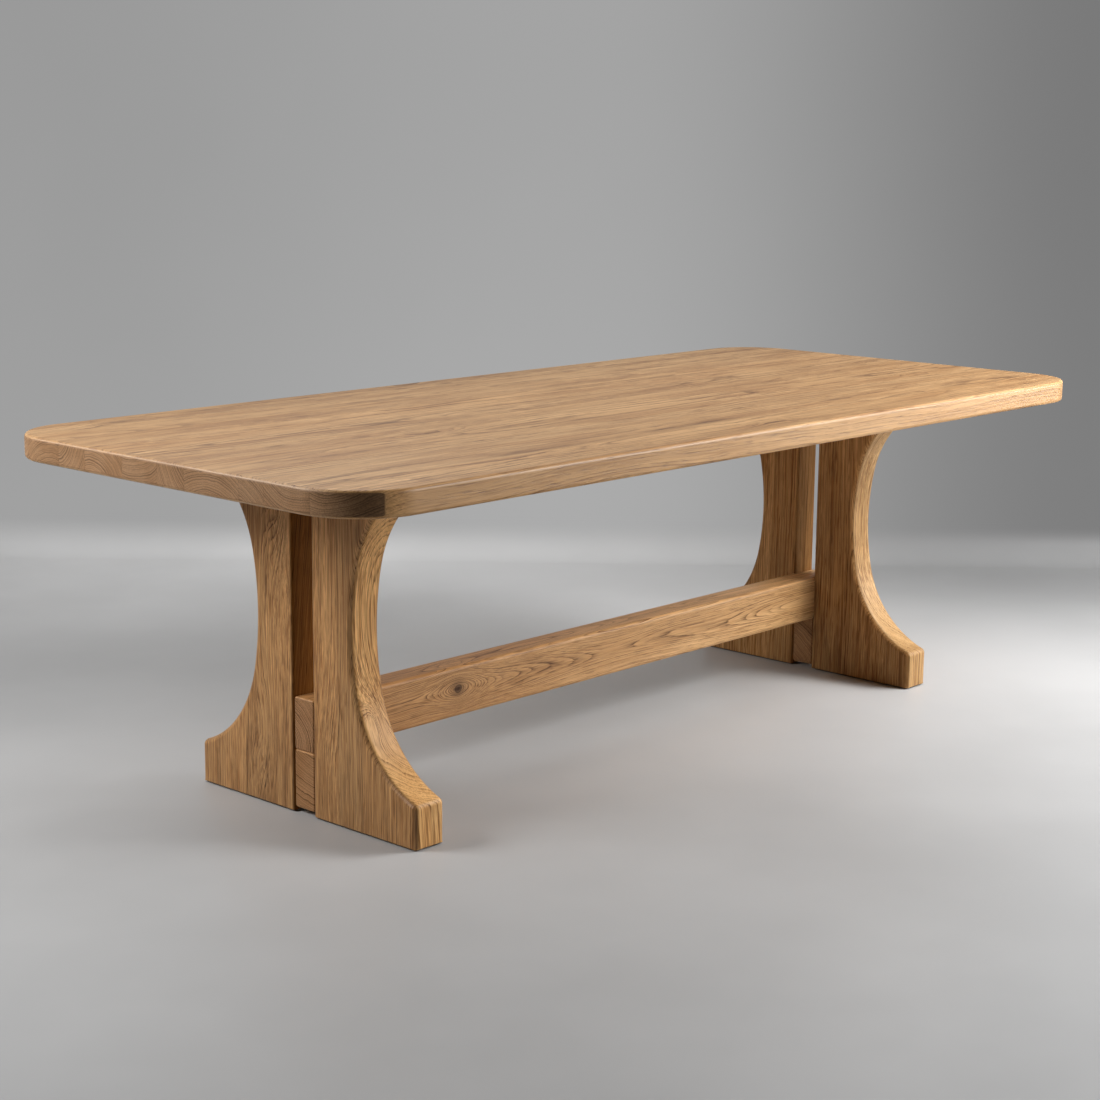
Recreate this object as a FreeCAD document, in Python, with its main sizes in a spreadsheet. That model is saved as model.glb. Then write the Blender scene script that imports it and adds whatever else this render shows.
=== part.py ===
import FreeCAD, Part
import math
import os
import Sketcher

# Trestle dining table in solid oak, in millimetres.
# X runs along the table, Y across it and Z up; the origin is on the floor under the middle.
# Left is -X, right is +X, front is -Y and back is +Y.

SIZES = {
    # Top: boards glued edge to edge, counted from the front, then sawn to one rounded outline
    "table_height": 750, "table_length": 2400, "top_thickness": 50,
    "board_width_01": 117, "board_width_02": 118, "board_width_03": 68, "board_width_04": 152,
    "board_width_05": 79, "board_width_06": 105, "board_width_07": 116, "board_width_08": 85,
    "board_width_09": 105, "board_width_10": 105,
    "corner_radius": 140, "edge_radius": 8,
    # Trestles: two halves of thick plank with a gap between them
    "end_overhang": 331, "leg_thickness": 78, "leg_gap_width": 58, "foot_half_width": 320,
    "nose_height": 12, "toe_height": 90, "waist_half_width": 140, "waist_radius": 575,
    "waist_arc_height": 238, "outer_arris_radius": 13, "gap_arris_radius": 8, "foot_arris_radius": 3,
    # Felt strips glued under the feet
    "felt_thickness": 3, "felt_inset": 6,
    # Spacer blocks glued between the halves
    "spacer_recess_depth": 3, "spacer_lift_height": 11, "upper_spacer_height": 75, "spacer_arris_radius": 6,
    "block_end_radius": 4,
    "dowel_diameter": 12, "dowel_seat_depth": 28, "dowel_edge_distance": 17,
    # Stretcher: a beam with shoulders and a through tenon at each end
    "stretcher_bottom": 131, "stretcher_height": 108, "shoulder_width": 7, "stretcher_arris_radius": 9,
    "tenon_clearance": 0.2,
    # Steel plates let into the underside of the top
    "plate_thickness": 6, "plate_length": 440, "plate_ear_width": 34, "plate_corner_radius": 12,
    "plate_clearance": 0.4, "slot_width": 9, "slot_length": 20, "slot_end_distance": 50,
    # Bolts, washers and threaded inserts that hold the top
    "top_bolt_diameter": 8, "top_bolt_length": 35, "top_bolt_head_width": 13, "top_bolt_head_height": 5.3,
    "top_washer_diameter": 24, "top_washer_thickness": 2,
    "top_insert_diameter": 14, "top_insert_length": 25,
    # Countersunk screws that hold a plate to its trestle
    "screw_diameter": 6, "screw_head_diameter": 12, "screw_length": 60, "screw_point_length": 8,
    "screw_tip_diameter": 1, "screw_edge_distance": 19, "screw_inner_offset": 80, "screw_end_distance": 35,
    # Bolts that hold the stretcher down on the lower spacers
    "stretcher_bolt_diameter": 10, "stretcher_bolt_head_width": 17, "stretcher_bolt_head_height": 6.4,
    "stretcher_washer_diameter": 21, "stretcher_washer_thickness": 2,
    "stretcher_insert_diameter": 16, "stretcher_insert_length": 30,
    "counterbore_diameter": 27, "counterbore_depth": 16,
    # Room round a fastener or dowel in its bore, and past its end
    "bore_clearance": 0.1, "end_clearance": 4,
}
BOARD_COUNT = 10
ENDS = {"left": -1, "right": 1}
SIDES = {"front": -1, "back": 1}

doc = FreeCAD.newDocument("trestle_table")
sheet = doc.addObject("Spreadsheet::Sheet", "dims")
for row, (alias, value) in enumerate(SIZES.items(), start=1):
    sheet.set("A%d" % row, alias)
    sheet.set("B%d" % row, str(value))
    sheet.setAlias("B%d" % row, alias)
doc.recompute()

# Derived sizes, as expressions of the sheet
WIDTHS = ["dims.board_width_%02d" % number for number in range(1, BOARD_COUNT + 1)]
TABLE_WIDTH = "(%s)" % " + ".join(WIDTHS)
UNDERSIDE = "(dims.table_height - dims.top_thickness)"
TRESTLE_OFFSET = "(dims.table_length / 2 - dims.end_overhang - dims.leg_thickness / 2)"
INNER_FACE = "(dims.leg_gap_width / 2)"
NOSE_BOTTOM = "(%s - dims.nose_height)" % UNDERSIDE
WAIST_HEIGHT = "((dims.toe_height + %s) / 2)" % UNDERSIDE
UPPER_SPACER_BOTTOM = "(%s - dims.upper_spacer_height)" % UNDERSIDE
LOWER_SPACER_HEIGHT = "(dims.stretcher_bottom - dims.spacer_lift_height)"
SPACER_DEPTH = "(dims.leg_thickness - 2 * dims.spacer_recess_depth)"
LOWER_DOWEL_HEIGHT = "((dims.stretcher_bottom + dims.spacer_lift_height + dims.counterbore_depth) / 2)"
UPPER_DOWEL_HEIGHT = "(%s - dims.upper_spacer_height / 2)" % UNDERSIDE
STRETCHER_WIDTH = "(dims.leg_gap_width + 2 * dims.shoulder_width)"
DOWEL_OFFSET = "(dims.leg_thickness / 2 - dims.dowel_edge_distance)"
SCREW_OFFSET = "(dims.leg_thickness / 2 - dims.screw_edge_distance)"
PLATE_WIDTH = "(dims.leg_thickness + 2 * dims.plate_ear_width)"
PLATE_TOP = "(%s + dims.plate_thickness)" % UNDERSIDE
EAR_OFFSET = "(dims.leg_thickness / 2 + dims.plate_ear_width / 2)"
DOWEL_BORE = "(dims.dowel_diameter + 2 * dims.bore_clearance)"
SCREW_BORE = "(dims.screw_diameter + 2 * dims.bore_clearance)"
SCREW_HEAD_HEIGHT = "((dims.screw_head_diameter - dims.screw_diameter) / 2)"
STRETCHER_INSERT_BORE = "(dims.stretcher_insert_diameter + 2 * dims.bore_clearance)"
STRETCHER_BOLT_BORE = "(dims.stretcher_bolt_diameter + 2 * dims.bore_clearance)"
COUNTERBORE_ROOF = "(dims.spacer_lift_height + dims.counterbore_depth)"


def number(expression):
    """The value of an expression of the sheet, in millimetres."""
    value = sheet.evalExpression(expression)
    return float(getattr(value, "Value", value))


def place(piece, x, y, z):
    """Tie a piece's place to expressions."""
    for axis, expression in zip("xyz", (x, y, z)):
        piece.setExpression("Placement.Base." + axis, expression)


def new_body(label):
    """A body that holds one piece of the table."""
    body = doc.addObject("PartDesign::Body", label)
    body.Label = label
    return body


def new_sketch(body, name, plane, offset="0", x="0", y="0"):
    """A sketch on one of the body's own planes, moved along the plane's normal and across it."""
    sketch = body.newObject("Sketcher::SketchObject", name)
    planes = [feature for feature in body.Origin.OriginFeatures if feature.Role == plane]
    sketch.AttachmentSupport = [(planes[0], "")]
    sketch.MapMode = "FlatFace"
    sketch.setExpression("AttachmentOffset.Base.x", x)
    sketch.setExpression("AttachmentOffset.Base.y", y)
    sketch.setExpression("AttachmentOffset.Base.z", offset)
    return sketch


def constrain(sketch, expression, *constraint):
    """Add a driving dimension and tie it to the sheet."""
    index = sketch.addConstraint(Sketcher.Constraint(*constraint, number(expression)))
    sketch.renameConstraint(index, "size_%d" % index)
    sketch.setExpression("Constraints.size_%d" % index, expression)


def rounded_rectangle(sketch, along, across, radius):
    """A rectangle with round corners about the sketch's origin."""
    half_x, half_y, r = number(along) / 2, number(across) / 2, number(radius)
    corners = [(1, 1), (-1, 1), (-1, -1), (1, -1)]
    arcs = []
    for quarter, (sx, sy) in enumerate(corners):
        centre = FreeCAD.Vector(sx * (half_x - r), sy * (half_y - r), 0)
        circle = Part.Circle(centre, FreeCAD.Vector(0, 0, 1), r)
        start = quarter * math.pi / 2
        arcs.append(sketch.addGeometry(Part.ArcOfCircle(circle, start, start + math.pi / 2)))
    for here, start in enumerate(arcs):
        end = arcs[(here + 1) % 4]
        first = sketch.getPoint(start, 2)
        second = sketch.getPoint(end, 1)
        line = sketch.addGeometry(Part.LineSegment(first, second))
        sketch.addConstraint(Sketcher.Constraint("Tangent", start, 2, line, 1))
        sketch.addConstraint(Sketcher.Constraint("Tangent", line, 2, end, 1))
        sketch.addConstraint(Sketcher.Constraint("Vertical" if here % 2 else "Horizontal", line))
    for other in arcs[1:]:
        sketch.addConstraint(Sketcher.Constraint("Equal", arcs[0], other))
    sketch.addConstraint(Sketcher.Constraint("Symmetric", arcs[0], 3, arcs[2], 3, -1, 1))
    constrain(sketch, "%s - 2 * %s" % (along, radius), "DistanceX", arcs[1], 3, arcs[0], 3)
    constrain(sketch, "%s - 2 * %s" % (across, radius), "DistanceY", arcs[3], 3, arcs[0], 3)
    constrain(sketch, radius, "Radius", arcs[0])


def circles(sketch, diameter, points):
    """Circles of one diameter at places given as pairs of expressions."""
    for x, y in points:
        centre = FreeCAD.Vector(number(x), number(y), 0)
        normal = FreeCAD.Vector(0, 0, 1)
        circle = sketch.addGeometry(Part.Circle(centre, normal, number(diameter) / 2))
        constrain(sketch, diameter, "Diameter", circle)
        for kind, place_at in (("DistanceX", x), ("DistanceY", y)):
            if abs(number(place_at)) > 1e-9:
                constrain(sketch, place_at, kind, -1, 1, circle, 3)
            else:
                axis = -2 if kind == "DistanceX" else -1
                sketch.addConstraint(Sketcher.Constraint("PointOnObject", circle, 3, axis))


def pad(body, sketch, length, both_ways=False):
    """Thicken a sketch along its normal, or evenly both ways."""
    feature = body.newObject("PartDesign::Pad", sketch.Name + "_pad")
    feature.Profile = sketch
    feature.SideType = "Symmetric" if both_ways else "One side"
    feature.setExpression("Length", length)
    sketch.Visibility = False
    doc.recompute()
    return feature


def pocket(body, sketch, depth, along_normal=False):
    """Cut a sketch into the body, against its normal unless told otherwise."""
    before = body.Shape.Volume
    feature = body.newObject("PartDesign::Pocket", sketch.Name + "_pocket")
    feature.Profile = sketch
    feature.Reversed = along_normal
    feature.setExpression("Length", depth)
    doc.recompute()
    if not body.Shape.Volume < before:
        raise RuntimeError("%s cuts nothing" % sketch.Name)
    return feature


def fillet(body, base, radius, chosen):
    """Round the edges of a feature that the test picks."""
    names = ["Edge%d" % i for i, edge in enumerate(base.Shape.Edges, start=1) if chosen(edge)]
    feature = body.newObject("PartDesign::Fillet", base.Name + "_round")
    feature.Base = (base, names)
    feature.setExpression("Radius", radius)
    doc.recompute()
    return feature


def lies_at(edge, axis, value):
    """Whether a whole edge lies on a plane across an axis."""
    box = edge.BoundBox
    low, high = getattr(box, axis + "Min"), getattr(box, axis + "Max")
    return abs(low - value) < 1e-3 and abs(high - value) < 1e-3


def runs_along(edge, axis):
    """Whether an edge is straight and parallel to an axis."""
    ends = [vertex.Point for vertex in edge.Vertexes]
    if edge.Curve.TypeId != "Part::GeomLine":
        return False
    return abs(abs(getattr(ends[1] - ends[0], axis)) - edge.Length) < 1e-6


def cylinder(name, diameter, height, x, y, z, rotation=None):
    """A round bar whose base is at the place given, along Z unless it is turned."""
    bar = doc.addObject("Part::Cylinder", name)
    bar.setExpression("Radius", "%s / 2" % diameter)
    bar.setExpression("Height", height)
    if rotation:
        bar.Placement = FreeCAD.Placement(FreeCAD.Vector(), rotation)
    place(bar, x, y, z)
    return bar


def cone(name, lower, upper, height, x, y, z):
    """A cone between two diameters, standing at the place given."""
    taper = doc.addObject("Part::Cone", name)
    taper.setExpression("Radius1", "%s / 2" % lower)
    taper.setExpression("Radius2", "%s / 2" % upper)
    taper.setExpression("Height", height)
    place(taper, x, y, z)
    return taper


def fuse(name, pieces):
    """One solid from several."""
    joined = doc.addObject("Part::MultiFuse", name)
    joined.Shapes = pieces
    joined.Refine = True
    return joined


def cut(name, base, tool):
    """A solid less another."""
    result = doc.addObject("Part::Cut", name)
    result.Base = base
    result.Tool = tool
    return result


def group(label, pieces):
    """Fasteners of one kind in one node, as separate solids."""
    if len(pieces) == 1:
        pieces[0].Label = label
        return pieces[0]
    together = doc.addObject("Part::Compound", label)
    together.Label = label
    together.Links = pieces
    return together


def hex_bolt(name, diameter, length, head, head_height, x, y, z):
    """A hexagon bolt that points up, with the underside of its head at the height given."""
    top = doc.addObject("Part::Prism", name + "_head")
    top.Polygon = 6
    top.setExpression("Circumradius", "%s / 2 / cos(30)" % head)
    top.setExpression("Height", head_height)
    place(top, x, y, "%s - %s" % (z, head_height))
    shank = cylinder(name + "_shank", diameter, length, x, y, z)
    return fuse(name, [top, shank])


def sleeve(name, outer, inner, height, x, y, z):
    """A plain ring or tube: a washer or a threaded insert."""
    wall = cylinder(name + "_wall", outer, height, x, y, z)
    hole = cylinder(name + "_hole", inner, height, x, y, z)
    return cut(name, wall, hole)


def end_place(end):
    """Where a trestle's middle plane stands along the table."""
    return "%d * %s" % (ENDS[end], TRESTLE_OFFSET)


def ear_points():
    """The bolts' places on a plate's ears, from the plate's centre."""
    outer = "(dims.plate_length / 2 - dims.slot_end_distance)"
    rows = ["-" + outer, "0", outer]
    return [("%d * %s" % (side, EAR_OFFSET), row) for side in (-1, 1) for row in rows]


def screw_points():
    """The screws' places on a plate, from its centre: four in each half of the trestle."""
    across = ["dims.screw_inner_offset", "(dims.plate_length / 2 - dims.screw_end_distance)"]
    return [
        ("%d * %s" % (along, SCREW_OFFSET), "%d * %s" % (side, row))
        for side in (-1, 1) for row in across for along in (-1, 1)
    ]


def dowel_points(height):
    """A pair of dowels side by side at one height, from the trestle's middle."""
    return [("%d * %s" % (side, DOWEL_OFFSET), height) for side in (-1, 1)]


def leg_half(end, side):
    """Half a trestle: thick plank with a concave outer edge, bored for dowels and screws."""
    body = new_body("%s_leg_%s_half" % (end, side))
    outline = new_sketch(body, body.Name + "_outline", "YZ_Plane")
    leg_outline(outline)
    plank = pad(body, outline, "dims.leg_thickness", both_ways=True)
    face, gap = number("dims.leg_thickness") / 2, number(INNER_FACE)
    top, bottom = number(UNDERSIDE), number("dims.felt_thickness")
    toe, nose = number("dims.toe_height"), number(NOSE_BOTTOM)

    def on_wide_face(edge):
        return lies_at(edge, "X", face) or lies_at(edge, "X", -face)

    def is_gap_arris(edge):
        return on_wide_face(edge) and lies_at(edge, "Y", gap)

    def is_outer_arris(edge):
        if lies_at(edge, "Z", top) or lies_at(edge, "Z", bottom) or lies_at(edge, "Y", gap):
            return False
        return on_wide_face(edge) or lies_at(edge, "Z", toe) or lies_at(edge, "Z", nose)

    rounded = fillet(body, plank, "dims.outer_arris_radius", is_outer_arris)
    rounded = fillet(body, rounded, "dims.gap_arris_radius", is_gap_arris)
    fillet(body, rounded, "dims.foot_arris_radius", lambda edge: lies_at(edge, "Z", bottom))
    bores = new_sketch(body, body.Name + "_dowel_bores", "XZ_Plane", "-" + INNER_FACE)
    circles(bores, DOWEL_BORE, dowel_points(LOWER_DOWEL_HEIGHT) + dowel_points(UPPER_DOWEL_HEIGHT))
    pocket(body, bores, "dims.dowel_seat_depth + dims.end_clearance / 2")
    pilots = new_sketch(body, body.Name + "_screw_bores", "XY_Plane", UNDERSIDE)
    circles(pilots, SCREW_BORE, screw_points()[4:])
    pocket(body, pilots, "dims.screw_length - dims.plate_thickness + dims.end_clearance")
    if side == "front":
        body.Placement = FreeCAD.Placement(
            FreeCAD.Vector(), FreeCAD.Rotation(FreeCAD.Vector(0, 0, 1), 180))
    place(body, end_place(end), "0", "0")
    return body


def leg_outline(sketch):
    """The plank's outline: a slow arc at the waist that runs into tighter arcs at head and foot."""
    inner, foot = number(INNER_FACE), number("dims.foot_half_width")
    bottom, top, nose = number("dims.felt_thickness"), number(UNDERSIDE), number(NOSE_BOTTOM)
    toe, waist, waist_z = number("dims.toe_height"), number("dims.waist_half_width"), number(WAIST_HEIGHT)
    slow = number("dims.waist_radius")
    turn = math.asin(number("dims.waist_arc_height") / 2 / slow)
    normal = FreeCAD.Vector(0, 0, 1)
    inward = FreeCAD.Vector(math.cos(turn), math.sin(turn), 0)
    middle = FreeCAD.Vector(waist + slow, waist_z, 0)
    join = middle - inward * slow
    to_toe = FreeCAD.Vector(foot, toe, 0) - join
    tight = to_toe.dot(to_toe) / (2 * to_toe.dot(inward))
    low = join + inward * tight
    high = FreeCAD.Vector(low.x, 2 * waist_z - low.y, 0)
    toe_angle = math.atan2(toe - low.y, foot - low.x) % (2 * math.pi)
    head_angle = math.pi - math.asin((nose - high.y) / tight)
    head = high.x + tight * math.cos(head_angle)

    corners = [(head, nose), (head, top), (inner, top), (inner, bottom), (foot, bottom), (foot, toe)]
    points = [FreeCAD.Vector(x, y, 0) for x, y in corners]
    lines = [
        sketch.addGeometry(Part.LineSegment(start, end)) for start, end in zip(points, points[1:])
    ]
    foot_arc = sketch.addGeometry(
        Part.ArcOfCircle(Part.Circle(low, normal, tight), math.pi + turn, toe_angle))
    waist_arc = sketch.addGeometry(
        Part.ArcOfCircle(Part.Circle(middle, normal, slow), math.pi - turn, math.pi + turn))
    head_arc = sketch.addGeometry(
        Part.ArcOfCircle(Part.Circle(high, normal, tight), head_angle, math.pi - turn))

    for start, end in zip(lines, lines[1:]):
        sketch.addConstraint(Sketcher.Constraint("Coincident", start, 2, end, 1))
    for here, line in enumerate(lines):
        sketch.addConstraint(Sketcher.Constraint("Horizontal" if here % 2 else "Vertical", line))
    sketch.addConstraint(Sketcher.Constraint("Coincident", lines[-1], 2, foot_arc, 2))
    sketch.addConstraint(Sketcher.Constraint("Tangent", foot_arc, 1, waist_arc, 2))
    sketch.addConstraint(Sketcher.Constraint("Tangent", waist_arc, 1, head_arc, 2))
    sketch.addConstraint(Sketcher.Constraint("Coincident", head_arc, 1, lines[0], 1))
    sketch.addConstraint(Sketcher.Constraint("Equal", foot_arc, head_arc))
    sketch.addConstraint(Sketcher.Constraint("Vertical", foot_arc, 3, head_arc, 3))
    constrain(sketch, "dims.waist_half_width + dims.waist_radius", "DistanceX", -1, 1, waist_arc, 3)
    constrain(sketch, WAIST_HEIGHT, "DistanceY", -1, 1, waist_arc, 3)
    constrain(sketch, "dims.waist_radius", "Radius", waist_arc)
    constrain(sketch, "dims.waist_arc_height", "DistanceY", waist_arc, 2, waist_arc, 1)
    constrain(sketch, NOSE_BOTTOM, "DistanceY", -1, 1, lines[0], 1)
    constrain(sketch, UNDERSIDE, "DistanceY", -1, 1, lines[1], 1)
    constrain(sketch, INNER_FACE, "DistanceX", -1, 1, lines[2], 1)
    constrain(sketch, "dims.felt_thickness", "DistanceY", -1, 1, lines[3], 1)
    constrain(sketch, "dims.foot_half_width", "DistanceX", -1, 1, lines[4], 1)
    constrain(sketch, "dims.toe_height", "DistanceY", -1, 1, lines[4], 2)


def spacer(end, level, bottom, height, dowel_height):
    """A block between the two halves of a trestle, bored through for the dowels."""
    body = new_body("%s_%s_spacer" % (end, level))
    section = new_sketch(body, body.Name + "_section", "YZ_Plane", y="%s + %s / 2" % (bottom, height))
    rounded_rectangle(section, "dims.leg_gap_width", height, "dims.spacer_arris_radius")
    block = pad(body, section, SPACER_DEPTH, both_ways=True)
    ease_ends(body, block, SPACER_DEPTH)
    bores = new_sketch(body, body.Name + "_dowel_bores", "XZ_Plane", "-" + INNER_FACE)
    circles(bores, DOWEL_BORE, dowel_points(dowel_height))
    pocket(body, bores, "dims.leg_gap_width", along_normal=True)
    if level == "lower":
        bore_for_bolt(body)
    place(body, end_place(end), "0", "0")
    return body


def ease_ends(body, block, length):
    """Round the outline of both ends of a block that lies along X."""
    end = number(length) / 2

    def on_end(edge):
        return lies_at(edge, "X", end) or lies_at(edge, "X", -end)

    fillet(body, block, "dims.block_end_radius", on_end)


def bore_for_bolt(body):
    """A bolt's way up through a lower spacer, counterbored from below for its head."""
    way = new_sketch(body, body.Name + "_bolt_bore", "XY_Plane", "dims.spacer_lift_height")
    circles(way, STRETCHER_BOLT_BORE, [("0", "0")])
    pocket(body, way, LOWER_SPACER_HEIGHT, along_normal=True)
    room = new_sketch(body, body.Name + "_counterbore", "XY_Plane", "dims.spacer_lift_height")
    circles(room, "dims.counterbore_diameter", [("0", "0")])
    pocket(body, room, "dims.counterbore_depth", along_normal=True)


def stretcher():
    """The long beam: shouldered against the trestles, with a tenon through each gap."""
    body = new_body("stretcher")
    axis = "dims.stretcher_bottom + dims.stretcher_height / 2"
    shoulder_length = "(2 * %s - dims.leg_thickness)" % TRESTLE_OFFSET
    tenon_length = "(2 * %s + %s)" % (TRESTLE_OFFSET, SPACER_DEPTH)
    tenon_width = "(dims.leg_gap_width - 2 * dims.tenon_clearance)"
    section = new_sketch(body, "beam_section", "YZ_Plane", y=axis)
    rounded_rectangle(
        section, STRETCHER_WIDTH, "dims.stretcher_height", "dims.stretcher_arris_radius")
    beam = pad(body, section, shoulder_length, both_ways=True)
    ease_ends(body, beam, shoulder_length)
    section = new_sketch(body, "tenon_section", "YZ_Plane", y=axis)
    rounded_rectangle(section, tenon_width, "dims.stretcher_height", "dims.spacer_arris_radius")
    tenons = pad(body, section, tenon_length, both_ways=True)
    ease_ends(body, tenons, tenon_length)
    bores = new_sketch(body, "insert_bores", "XY_Plane", "dims.stretcher_bottom")
    circles(bores, STRETCHER_INSERT_BORE, [(end_place(end), "0") for end in ENDS])
    pocket(body, bores, "dims.stretcher_insert_length + dims.end_clearance", along_normal=True)
    return body


def top_panel():
    """The glued-up top before it is told apart into boards: outline, plate recesses and bores."""
    body = new_body("top_panel")
    outline = new_sketch(body, "top_outline", "XY_Plane", UNDERSIDE)
    rounded_rectangle(outline, "dims.table_length", TABLE_WIDTH, "dims.corner_radius")
    slab = pad(body, outline, "dims.top_thickness")
    fillet(body, slab, "dims.edge_radius", lambda edge: not runs_along(edge, "z"))
    for end in ENDS:
        recess = new_sketch(body, end + "_plate_recess", "XY_Plane", UNDERSIDE, x=end_place(end))
        rounded_rectangle(
            recess, "(%s + 2 * dims.plate_clearance)" % PLATE_WIDTH,
            "(dims.plate_length + 2 * dims.plate_clearance)",
            "(dims.plate_corner_radius + dims.plate_clearance)")
        pocket(body, recess, "dims.plate_thickness", along_normal=True)
        bores = new_sketch(body, end + "_insert_bores", "XY_Plane", PLATE_TOP, x=end_place(end))
        circles(bores, "(dims.top_insert_diameter + 2 * dims.bore_clearance)", ear_points())
        pocket(body, bores, "dims.top_insert_length + dims.end_clearance", along_normal=True)
    return body


def top_board(panel, order):
    """One board of the top: the panel between two glue lines."""
    label = "top_board_%02d" % (order + 1)
    strip = doc.addObject("Part::Box", label + "_strip")
    strip.setExpression("Length", "dims.table_length")
    strip.setExpression("Width", WIDTHS[order])
    strip.setExpression("Height", "dims.top_thickness")
    start = " + ".join(["-%s / 2" % TABLE_WIDTH] + WIDTHS[:order])
    place(strip, "-dims.table_length / 2", start, UNDERSIDE)
    board = doc.addObject("Part::Common", label)
    board.Label = label
    board.Base = panel
    board.Tool = strip
    return board


def mounting_plate(end):
    """A steel plate, let flush into the top: screwed to the trestle, with slots for the bolts."""
    body = new_body("%s_mounting_plate" % end)
    outline = new_sketch(body, body.Name + "_outline", "XY_Plane", UNDERSIDE)
    rounded_rectangle(outline, PLATE_WIDTH, "dims.plate_length", "dims.plate_corner_radius")
    pad(body, outline, "dims.plate_thickness")
    for order, (x, y) in enumerate(ear_points()):
        slot = new_sketch(body, "%s_slot_%d" % (body.Name, order), "XY_Plane", PLATE_TOP, x=x, y=y)
        rounded_rectangle(slot, "dims.slot_width", "dims.slot_length", "(dims.slot_width * 0.499)")
        pocket(body, slot, "dims.plate_thickness")
    holes = new_sketch(body, body.Name + "_screw_holes", "XY_Plane", PLATE_TOP)
    circles(holes, SCREW_BORE, screw_points())
    through = pocket(body, holes, "dims.plate_thickness")
    rims = body.newObject("PartDesign::Chamfer", body.Name + "_countersinks")
    bore = number(SCREW_BORE) / 2
    top = number(PLATE_TOP)
    rims.Base = (through, [
        "Edge%d" % i for i, edge in enumerate(through.Shape.Edges, start=1)
        if lies_at(edge, "Z", top) and abs(getattr(edge.Curve, "Radius", 0) - bore) < 1e-6])
    rims.setExpression("Size", SCREW_HEAD_HEIGHT)
    doc.recompute()
    place(body, end_place(end), "0", "0")
    return body


def plate_screws(end):
    """Countersunk wood screws down into the heads of a trestle's two halves."""
    screws = []
    for order, (x, y) in enumerate(screw_points()):
        name = "%s_plate_screw_%d" % (end, order)
        at_x = "%s + %s" % (end_place(end), x)
        neck = "(%s - %s)" % (PLATE_TOP, SCREW_HEAD_HEIGHT)
        tip = "(%s - dims.screw_length)" % PLATE_TOP
        shank_start = "(%s + dims.screw_point_length)" % tip
        thick = "dims.screw_diameter"
        head = cone(name + "_head", thick, "dims.screw_head_diameter", SCREW_HEAD_HEIGHT, at_x, y, neck)
        shank = cylinder(name + "_shank", thick, "%s - %s" % (neck, shank_start), at_x, y, shank_start)
        point = cone(
            name + "_point", "dims.screw_tip_diameter", thick, "dims.screw_point_length", at_x, y, tip)
        screws.append(fuse(name, [head, shank, point]))
    return group("%s_plate_screws" % end, screws)


def top_fasteners(end):
    """Bolts up through the plate's slots into inserts in the top, each on a wide washer."""
    bolts, washers, inserts = [], [], []
    seat = "(%s - dims.top_washer_thickness)" % UNDERSIDE
    hole = "(dims.top_bolt_diameter + 2 * dims.bore_clearance)"
    for order, (x, y) in enumerate(ear_points()):
        at_x = "%s + %s" % (end_place(end), x)
        bolts.append(hex_bolt(
            "%s_top_bolt_%d" % (end, order), "dims.top_bolt_diameter", "dims.top_bolt_length",
            "dims.top_bolt_head_width", "dims.top_bolt_head_height", at_x, y, seat))
        washers.append(sleeve(
            "%s_top_washer_%d" % (end, order), "dims.top_washer_diameter", hole,
            "dims.top_washer_thickness", at_x, y, seat))
        inserts.append(sleeve(
            "%s_top_insert_%d" % (end, order), "dims.top_insert_diameter", hole,
            "dims.top_insert_length", at_x, y, PLATE_TOP))
    return [
        group("%s_top_bolts" % end, bolts),
        group("%s_top_washers" % end, washers),
        group("%s_top_inserts" % end, inserts),
    ]


def stretcher_fasteners(end):
    """A long bolt up through a lower spacer into an insert in the tenon, on a washer."""
    x = end_place(end)
    seat = "(%s - dims.stretcher_washer_thickness)" % COUNTERBORE_ROOF
    tip = "(dims.stretcher_bottom + dims.stretcher_insert_length)"
    bolt = hex_bolt(
        "%s_stretcher_bolt" % end, "dims.stretcher_bolt_diameter", "%s - %s" % (tip, seat),
        "dims.stretcher_bolt_head_width", "dims.stretcher_bolt_head_height", x, "0", seat)
    washer = sleeve(
        "%s_stretcher_washer" % end, "dims.stretcher_washer_diameter", STRETCHER_BOLT_BORE,
        "dims.stretcher_washer_thickness", x, "0", seat)
    insert = sleeve(
        "%s_stretcher_insert" % end, "dims.stretcher_insert_diameter", STRETCHER_BOLT_BORE,
        "dims.stretcher_insert_length", x, "0", "dims.stretcher_bottom")
    return [group(piece.Name, [piece]) for piece in (bolt, washer, insert)]


def dowels(end, level, height):
    """A pair of dowels through a spacer and into both halves of its trestle."""
    across = FreeCAD.Rotation(FreeCAD.Vector(1, 0, 0), -90)
    pins = []
    for order, (x, z) in enumerate(dowel_points(height)):
        pins.append(cylinder(
            "%s_%s_dowel_%d" % (end, level, order), "dims.dowel_diameter",
            "dims.leg_gap_width + 2 * dims.dowel_seat_depth", "%s + %s" % (end_place(end), x),
            "-%s - dims.dowel_seat_depth" % INNER_FACE, z, across))
    return group("%s_%s_dowels" % (end, level), pins)


def felt_strip(end, side):
    """A thin felt strip under one half of a trestle, set in from the foot's outline."""
    label = "%s_%s_felt_strip" % (end, side)
    strip = doc.addObject("Part::Box", label)
    strip.Label = label
    reach = "(dims.foot_half_width - %s - 2 * dims.felt_inset)" % INNER_FACE
    strip.setExpression("Length", "dims.leg_thickness - 2 * dims.felt_inset")
    strip.setExpression("Width", reach)
    strip.setExpression("Height", "dims.felt_thickness")
    near = "%s + dims.felt_inset" % INNER_FACE
    start = near if side == "back" else "-(%s) - %s" % (near, reach)
    place(strip, "%s - dims.leg_thickness / 2 + dims.felt_inset" % end_place(end), start, "0")
    return strip


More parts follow.
